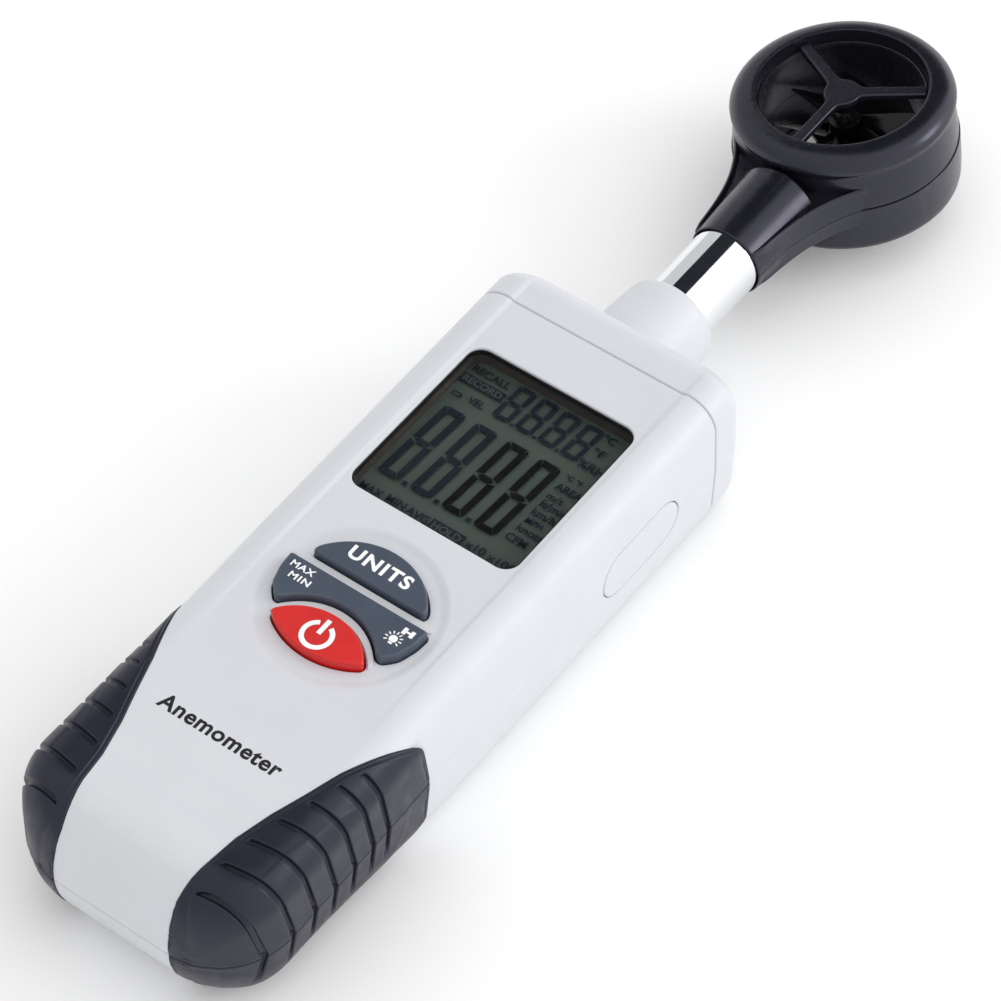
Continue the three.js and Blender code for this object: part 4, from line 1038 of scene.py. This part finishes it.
def add_display():
    panel = stacked(softened(rectangle(18, LCD_LOW.y, LCD_HIGH.y, 0.6), 0.3),
                    [(LCD_LOW.z, -0.1), (LCD_LOW.z + 0.1, 0), (LCD_HIGH.z + 0.05, 0),
                     (LCD_HIGH.z + 0.15, -0.1)])
    piece(panel, "lcd_panel", "case", REFLECTOR, ["lcd_glass"])
    marks, driven, reversed_marks = lcd_marks()
    piece(marks, "lcd_segments", "case", SEGMENT, weighted=False)
    piece(driven, "lcd_driven_segments", "case", DRIVEN, weighted=False)
    piece(reversed_marks, "lcd_reversed_words", "case", REFLECTOR, weighted=False)
    lens = window_outline(-0.3)
    pane = stacked(lens, [(26.1, -0.1), (26.2, 0), (PANE_TOP - 0.12, 0), (PANE_TOP - 0.03, -0.05),
                          (PANE_TOP, -0.14)])
    piece(pane, "window_pane", "case", PANE, ["display_window"])
    piece(window_ring(1.9, [(25.0, 0), (25.8, 0)], 0.05), "window_flange", "case", EDGE)
    piece(window_ring(-0.03, [(25.05, -0.02), (27.1, -0.02)], -0.26), "window_mask", "case", EDGE)
    gasket = window_ring(-0.03, [(27.15, 0), (28.0, 0), (28.06, -0.04)], -0.28)
    piece(gasket, "window_gasket", "case", BLACK)
    title = lettering("Anemometer", -12.6, -84.0, 23.6, 2.9, FACE_Z - 0.01, 0.03, bold=0.027, spacing=1.07)
    piece(title, "front_title", "case", PRINT_BLACK, weighted=False)


# ---- keys ----
def key_cap(outline):
    levels = [(KEY_BOTTOM, 0.4), (KEY_BOTTOM + 0.1, 0.5), (KEY_BOTTOM + 1.0, 0.5), (KEY_BOTTOM + 1.1, 0.4),
              (KEY_BOTTOM + 1.1, 0)]
    levels += [(z, -inset) for inset, z in rounded(0, KEY_TOP - 0.45, 0.45, KEY_TOP, 6)]
    return stacked(outline, levels)


def ring_arc(x, y, radius, half_stroke, start, end, z):
    angles = np.radians(np.linspace(start, end, 40))
    outer, inner = [[(x + r * math.cos(a), y + r * math.sin(a)) for a in angles]
                    for r in (radius + half_stroke, radius - half_stroke)]
    return plate(outer + inner[::-1], z, LEGEND)


def rod_mark(x0, y0, x1, y1, half, z):
    dx, dy = x1 - x0, y1 - y0
    length = math.hypot(dx, dy)
    nx, ny = -dy / length * half, dx / length * half
    corners = [(x0 + nx, y0 + ny), (x0 - nx, y0 - ny), (x1 - nx, y1 - ny), (x1 + nx, y1 + ny)]
    return plate(corners, z, LEGEND)


def lamp_icon(x, y, z):
    """A bulb with its cap and rays."""
    glass, cap, middle = 0.72, 0.36, y + 0.1
    disc = [(x + glass * math.cos(a), middle + glass * math.sin(a))
            for a in np.linspace(-1.0, math.pi + 1.0, 28)]
    foot = [(x - cap, y - 0.98), (x + cap, y - 0.98), (x + cap, y - 0.6), (x - cap, y - 0.6)]
    bulb = [plate(disc, z, LEGEND), plate(foot, z, LEGEND)]
    for i in range(9):
        a = math.radians(-30 + 30 * i)
        c, s = math.cos(a), math.sin(a)
        bulb.append(rod_mark(x + c, middle + s, x + 1.55 * c, middle + 1.55 * s, 0.11, z))
    return bulb


def legend(key, marks):
    piece(merged(marks), f"legend_{key}", f"{key}_key", PRINT_WHITE, weighted=False)


def add_keys():
    z = KEY_TOP - 0.005
    piece(key_cap(units_outline()), "key_units", "units_key", GREY_KEY, ["units_key"])
    piece(key_cap(mode_outline()), "key_mode", "mode_key", GREY_KEY, ["mode_key"])
    piece(key_cap(power_outline()), "key_power", "power_key", RED_KEY, ["power_key"])
    legend("units", [lettering("UNITS", -6.1, -44.6, 12.0, 2.7, z, LEGEND, bold=0.034, spacing=1.16)])
    marks = [lettering("MAX", -12.1, -51.2, 4.5, 1.25, z, LEGEND, bold=0.024, spacing=1.1),
             lettering("MIN", -11.0, -53.2, 4.0, 1.25, z, LEGEND, bold=0.024, spacing=1.16),
             lettering("H", 10.2, -51.6, 2.1, 1.35, z, LEGEND, bold=0.07)]
    legend("mode", marks + lamp_icon(10.0, -53.3, z))
    ring = ring_arc(-0.05, -59.6, 2.45, 0.42, 116, 424, z)
    legend("power", [ring, rod_mark(-0.05, -59.3, -0.05, -56.2, 0.42, z)])


# ---- tube and head ----
def add_tube():
    y0, y1 = TUBE_ENDS
    outer, inner = TUBE_RADIUS, TUBE_BORE
    profile = [(inner, y0 + 0.15), (inner + 0.15, y0), (outer - 0.3, y0), (outer - 0.08, y0 + 0.08),
               (outer, y0 + 0.3), (outer, y1 - 0.25), (outer - 0.08, y1 - 0.07), (outer - 0.25, y1),
               (inner + 0.15, y1), (inner, y1 - 0.15), (inner, y0 + 0.15)]
    tube = lathe(profile, "y", 160)
    piece(tube, "chrome_tube", "probe", CHROME, ["probe_tube"], PROBE_PLACE)


def bezier(p0, p1, p2, p3, steps):
    t = np.linspace(0, 1, steps)[:, None]
    p0, p1, p2, p3 = (np.array(p, float) for p in (p0, p1, p2, p3))
    return (1 - t) ** 3 * p0 + 3 * t * (1 - t) ** 2 * p1 + 3 * t * t * (1 - t) * p2 + t**3 * p3


def neck_outline(flare_end):
    """Plan of the neck, whose sides flare out to meet the ring at flare_end."""
    x, y = flare_end
    flare = bezier((7.2, -32), (8.0, -26.3), (0.62 * x, y - 7), (x, y), 24)
    right = [(6.2, NECK_END + 0.15), (6.85, NECK_END + 2.5), *map(tuple, flare), (12, 0)]
    outline = softened(right + mirrored(right), 0.4)
    return resampled(outline, perimeter(outline) / 400.5)


def perimeter(outline):
    return float(np.sum(np.linalg.norm(np.roll(outline, -1, 0) - outline, axis=1)))


def neck(sign, seam):
    """One half of the neck: a flared plate with a bead along its edge, and the saddle over the tube."""
    base, crest = neck_outline((17.0, -10.4)), neck_outline((14.6, -13.3))
    levels = [(seam, -0.1), (seam + 0.1, 0), (3.35, 0), (3.62, 0.05), (3.9, 0.02), (4.1, -0.14),
              (4.18, -0.34), (4.12, -0.55), (3.9, -0.72), (3.6, -0.85), (3.45, -1.0)]
    if sign < 0:
        levels = [(z - 0.5, grow) if z > 3 else (z, grow) for z, grow in levels]
    rings = []
    for z, grow in levels:
        ring = grown(base + (crest - base) * max(min(z / 3.4, 1), 0), grow)
        rings.append(np.column_stack([ring, np.full(len(ring), z * sign)]))
    blank = loft(rings)
    end = -20.7
    profile = [(0, NECK_END), (6.9, NECK_END), (7.05, NECK_END + 0.12), (7.12, NECK_END + 0.35), (7.4, -32),
               (7.9, end - 0.6), (7.84, end - 0.3), (7.66, end - 0.1), (7.4, end), (0, end)]
    saddle = lathe(profile, "y", 96)
    low, high = (seam, FAR) if sign > 0 else (-FAR, -seam)
    return join(blank, common(saddle, box(-30, 30, -60, 60, low, high)))


def neck_bore():
    profile = [(0, NECK_END - 1), (6.85, NECK_END - 1), (6.85, NECK_END + 0.1), (6.72, NECK_END + 0.3),
               (6.72, -30.45), (5, -30.45), (5, -18), (0, -18)]
    return lathe(profile, "y", 64)


def duct():
    return cylinder(RING_BORE, -20, 20, 160)


def front_ring():
    z0 = HEAD_SEAM + 0.06
    profile = [(RING_BORE, z0), (19.95, z0), (20.07, z0 + 0.12), (20.02, 1.2), (19.62, 5.4), (19.5, 6.5),
               (19.52, 6.95), (19.66, 7.25), (19.88, 7.5), (20.0, 7.85), (20.02, 8.2), (19.9, 8.75),
               (19.62, 9.3), (19.2, 9.85), (18.6, 10.35), (17.9, 10.72), (17.1, 10.98), (16.3, 11.12),
               (15.7, 11.16), (15.5, 11.13), (15.36, 11.04), (15.3, 10.9), (RING_BORE, 8.0),
               (RING_BORE, z0)]
    return lathe(profile, sides=200)


def rear_ring():
    z0 = HEAD_SEAM - 0.06
    low = -10.2
    profile = [(RING_BORE, z0), (RING_BORE, low + 0.4), (RING_BORE + 0.1, low + 0.12),
               (RING_BORE + 0.35, low), (18.3, low), (18.9, low + 0.12), (19.5, low + 0.45),
               (19.95, low + 1.0), (20.15, low + 1.8), (20.28, -6), (20.3, z0 - 0.12), (20.18, z0),
               (RING_BORE, z0)]
    return lathe(profile, sides=200)


def head_shell(ring, sign, seam):
    shell = join(ring, cut(neck(sign, seam), duct()))
    bores = []
    for x, y in HEAD_SCREWS:
        if sign > 0:
            bores.append(cylinder(1.15, -1, 3, 24, (x, y, 0)))
        else:
            bores += [cylinder(2.05, -12, -2.6, 32, (x, y, 0)), cylinder(1.15, -3, 1, 24, (x, y, 0))]
    return cut(shell, neck_bore(), *bores)


def guard():
    """Three spokes and a hub in one moulding, with soft hollows where they meet, and a thin rim."""
    hub, half, tip = 3.4, 1.15, 15.0
    outline = []
    for i in range(3):
        middle = math.radians(-90 + 120 * i)
        side = [(tip, half), (11, half), (8, half), (6.5, half)]
        flank = [(r, math.asin(w / r)) for r, w in side]
        for step in range(1, 12):
            delta = flank[3][1] + (math.pi / 3 - flank[3][1]) * step / 11
            flank.append(((hub**6 + (half / math.sin(delta)) ** 6) ** (1 / 6), delta))
        outline += [(r * math.cos(middle - d), r * math.sin(middle - d)) for r, d in reversed(flank[:-1])]
        outline += [(r * math.cos(middle + d), r * math.sin(middle + d)) for r, d in flank]
    top, under = 10.0, 8.7
    levels = [(under, -0.15), (under + 0.15, 0), (top - 0.42, 0), (top - 0.18, -0.1), (top - 0.05, -0.26),
              (top, -0.5)]
    star = stacked(softened(outline, 0.3), levels)
    rim = lathe([(14.6, under - 0.6), (14.83, under - 0.6), (14.83, under + 0.1), (14.6, under + 0.02),
                 (14.6, under - 0.6)], sides=144)
    boss = lathe([(0, under - 2.4), (1.95, under - 2.4), (2.2, under - 2.1), (2.2, under + 0.3),
                  (0, under + 0.3)], sides=48)
    made = join(star, rim, boss)
    return cut(made, cylinder(1.45, under - 3, under - 0.5, 32))


def blade(turn):
    """One pitched, slightly hollow blade from the hub to its tip."""
    root, tip = 2.2, 13.4
    rings = []
    for t in np.linspace(0, 1, 12):
        radius = root + (tip - root) * t
        lean = math.atan(0.085 * radius + 0.25)
        chord = 7.1 / math.cos(lean) * (1 - 0.25 * max(t - 0.85, 0) / 0.15 * t)
        ring = []
        for i in range(16):
            a = 2 * math.pi * i / 16
            along = chord / 2 * math.copysign(abs(math.cos(a)) ** 0.7, math.cos(a))
            thick = 0.27 * (1 - 0.35 * (2 * along / chord) ** 2) * math.sin(a)
            camber = 0.35 * (1 - (2 * along / chord) ** 2)
            across = thick + camber
            y = across * math.cos(lean) + along * math.sin(lean)
            z = -across * math.sin(lean) + along * math.cos(lean)
            ring.append((radius * math.cos(turn) - y * math.sin(turn),
                         radius * math.sin(turn) + y * math.cos(turn), z))
        rings.append(ring)
    return loft(rings)


def rotor():
    hub = lathe([(0.8, -3.9), (2.5, -3.9), (2.82, -3.75), (2.9, -3.45), (2.9, 3.5), (2.82, 3.78),
                 (2.6, 3.9), (0.8, 3.9), (0.8, 3.83), (2.1, 3.83), (2.1, 2.3), (0.8, 2.3), (0.8, -3.9)],
                sides=64)
    turns = [2 * math.pi * (i + 0.35) / 8 for i in range(8)]
    blades = [cut(common(blade(turn), cylinder(13.5, -3.88, 3.88, 128)), cylinder(2.6, -5, 5, 64))
              for turn in turns]
    return join(hub, *blades)


def add_head():
    upper = head_shell(front_ring(), 1, HEAD_SEAM + 0.06)
    lower = head_shell(rear_ring(), -1, 0.06 - HEAD_SEAM)
    front = guard()
    rear = copied(front, MIRROR_Z)
    parts = {"head_shell_front": (upper, "head_front_shell"), "head_shell_rear": (lower, "head_rear_shell"),
             "guard_front": (front, "front_guard"), "guard_rear": (rear, "rear_guard")}
    for name, (made, node) in parts.items():
        piece(made, name, "probe", HEAD, [node], HEAD_PLACE)
    for i, (x, y) in enumerate(HEAD_SCREWS):
        name = f"head_screw_{i + 1}"
        piece(screw(x, y, -4.6, 1.75, 1.7, 2.7, 0.85), f"{name}_fine", "probe", STEEL,
              [name], HEAD_PLACE)
    piece(rotor(), "vane_wheel", "rotor", VANE, ["vane_rotor"], HEAD_PLACE)


# ---- stage, light and camera ----
WORLD = {"level": 1.08, "lean": (0.24, 0.28, 0)}  # strength, and how it grows towards a direction
SOFTBOX = {"place": (0.77, 0.6, 0.45), "target": (0, 0.02, 0.01), "size": 0.36, "power": 2.0}
CAMERA = {"azimuth": 36.902426, "elevation": 51.282442, "roll": -0.5532,
          "target": (0.00632, -0.02023, 0.0282), "distance": 0.62701, "lens": 140.835}


def add_camera():
    azimuth, elevation = math.radians(CAMERA["azimuth"]), math.radians(CAMERA["elevation"])
    away = Vector((math.sin(azimuth) * math.cos(elevation), -math.cos(azimuth) * math.cos(elevation),
                   math.sin(elevation)))
    data = bpy.data.cameras.new("camera")
    data.lens = CAMERA["lens"]
    data.sensor_width = 36
    data.clip_start = 0.01
    camera = linked("camera", data)
    roll = Matrix.Rotation(math.radians(CAMERA["roll"]), 4, "Z")
    turn = (-away).to_track_quat("-Z", "Y").to_matrix().to_4x4() @ roll
    camera.matrix_world = Matrix.Translation(Vector(CAMERA["target"]) + CAMERA["distance"] * away) @ turn
    bpy.context.scene.camera = camera


def add_softbox():
    data = bpy.data.lights.new("side_softbox", "AREA")
    data.energy = SOFTBOX["power"]
    data.size = SOFTBOX["size"]
    place, target = Vector(SOFTBOX["place"]), Vector(SOFTBOX["target"])
    light = linked("side_softbox", data)
    light.location = place
    light.rotation_euler = (target - place).to_track_quat("-Z", "Y").to_euler()


def add_stage():
    mesh = bpy.data.meshes.new("floor")
    far = 3.0
    mesh.from_pydata([(-far, -far, 0), (far, -far, 0), (far, far, 0), (-far, far, 0)], [], [(0, 1, 2, 3)])
    floor = linked("floor", mesh)
    floor.location.z = -0.0004
    paper = surface("pale_paper", (0.95, 0.95, 0.95, 1), 0.9, mottling=0.004, patch=60, grain=1.5,
                    specular=0.1)
    mesh.materials.append(paper)
    add_world()
    add_cards()
    add_softbox()


def add_world():
    """Even white studio light, a little stronger from the right and from behind the vane head."""
    world = bpy.data.worlds.new("studio")
    world.use_nodes = True
    tree = world.node_tree
    place = tree.nodes.new("ShaderNodeTexCoord").outputs["Generated"]
    lean = tree.nodes.new("ShaderNodeVectorMath")
    lean.operation = "DOT_PRODUCT"
    lean.inputs[1].default_value = WORLD["lean"]
    tree.links.new(place, lean.inputs[0])
    level = tree.nodes.new("ShaderNodeMath")
    level.inputs[1].default_value = WORLD["level"]
    tree.links.new(lean.outputs["Value"], level.inputs[0])
    tree.links.new(level.outputs[0], tree.nodes["Background"].inputs["Strength"])
    tree.nodes["Background"].inputs["Color"].default_value = (1, 1, 1, 1)
    bpy.context.scene.world = world
    bpy.context.scene.view_settings.view_transform = "Standard"


def card(name, corners, height, colour):
    """A studio card overhead that only reflections see."""
    mesh = bpy.data.meshes.new(name)
    mesh.from_pydata([(x, y, height) for x, y in corners], [], [range(len(corners))])
    made = linked(name, mesh)
    mesh.materials.append(surface(f"{name}_cloth", colour, 0.9, grain=2, specular=0.1))
    made.visible_camera = False
    made.visible_diffuse = False
    made.visible_shadow = False
    made.visible_transmission = False


def add_cards():
    """A black flag draws the dark band along the chromed tube, and a grey card shades the tube beside it."""
    height = 0.9
    x0, x1 = -0.833 * height, 0.145 * height
    y0, y1 = 0.15 * height, 1.0 * height
    flag = [(x0, y0), (x1, y0), (x1, y1), (0.5, 4), (-3.2, 4), (x0, y1)]
    grey = [(x0, y0), (x0, y1), (-3.2, 4), (-9, 8), (-9, 1.5), (-2.4, y0)]
    card("flag", flag, height, (0.015, 0.016, 0.022, 1))
    card("grey_card", grey, height + 0.01, (0.64, 0.64, 0.65, 1))


def write_sizes():
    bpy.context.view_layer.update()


finish_cad_nodes()
add_case()
add_display()
add_keys()
add_tube()
add_head()
add_stage()
add_camera()
write_sizes()
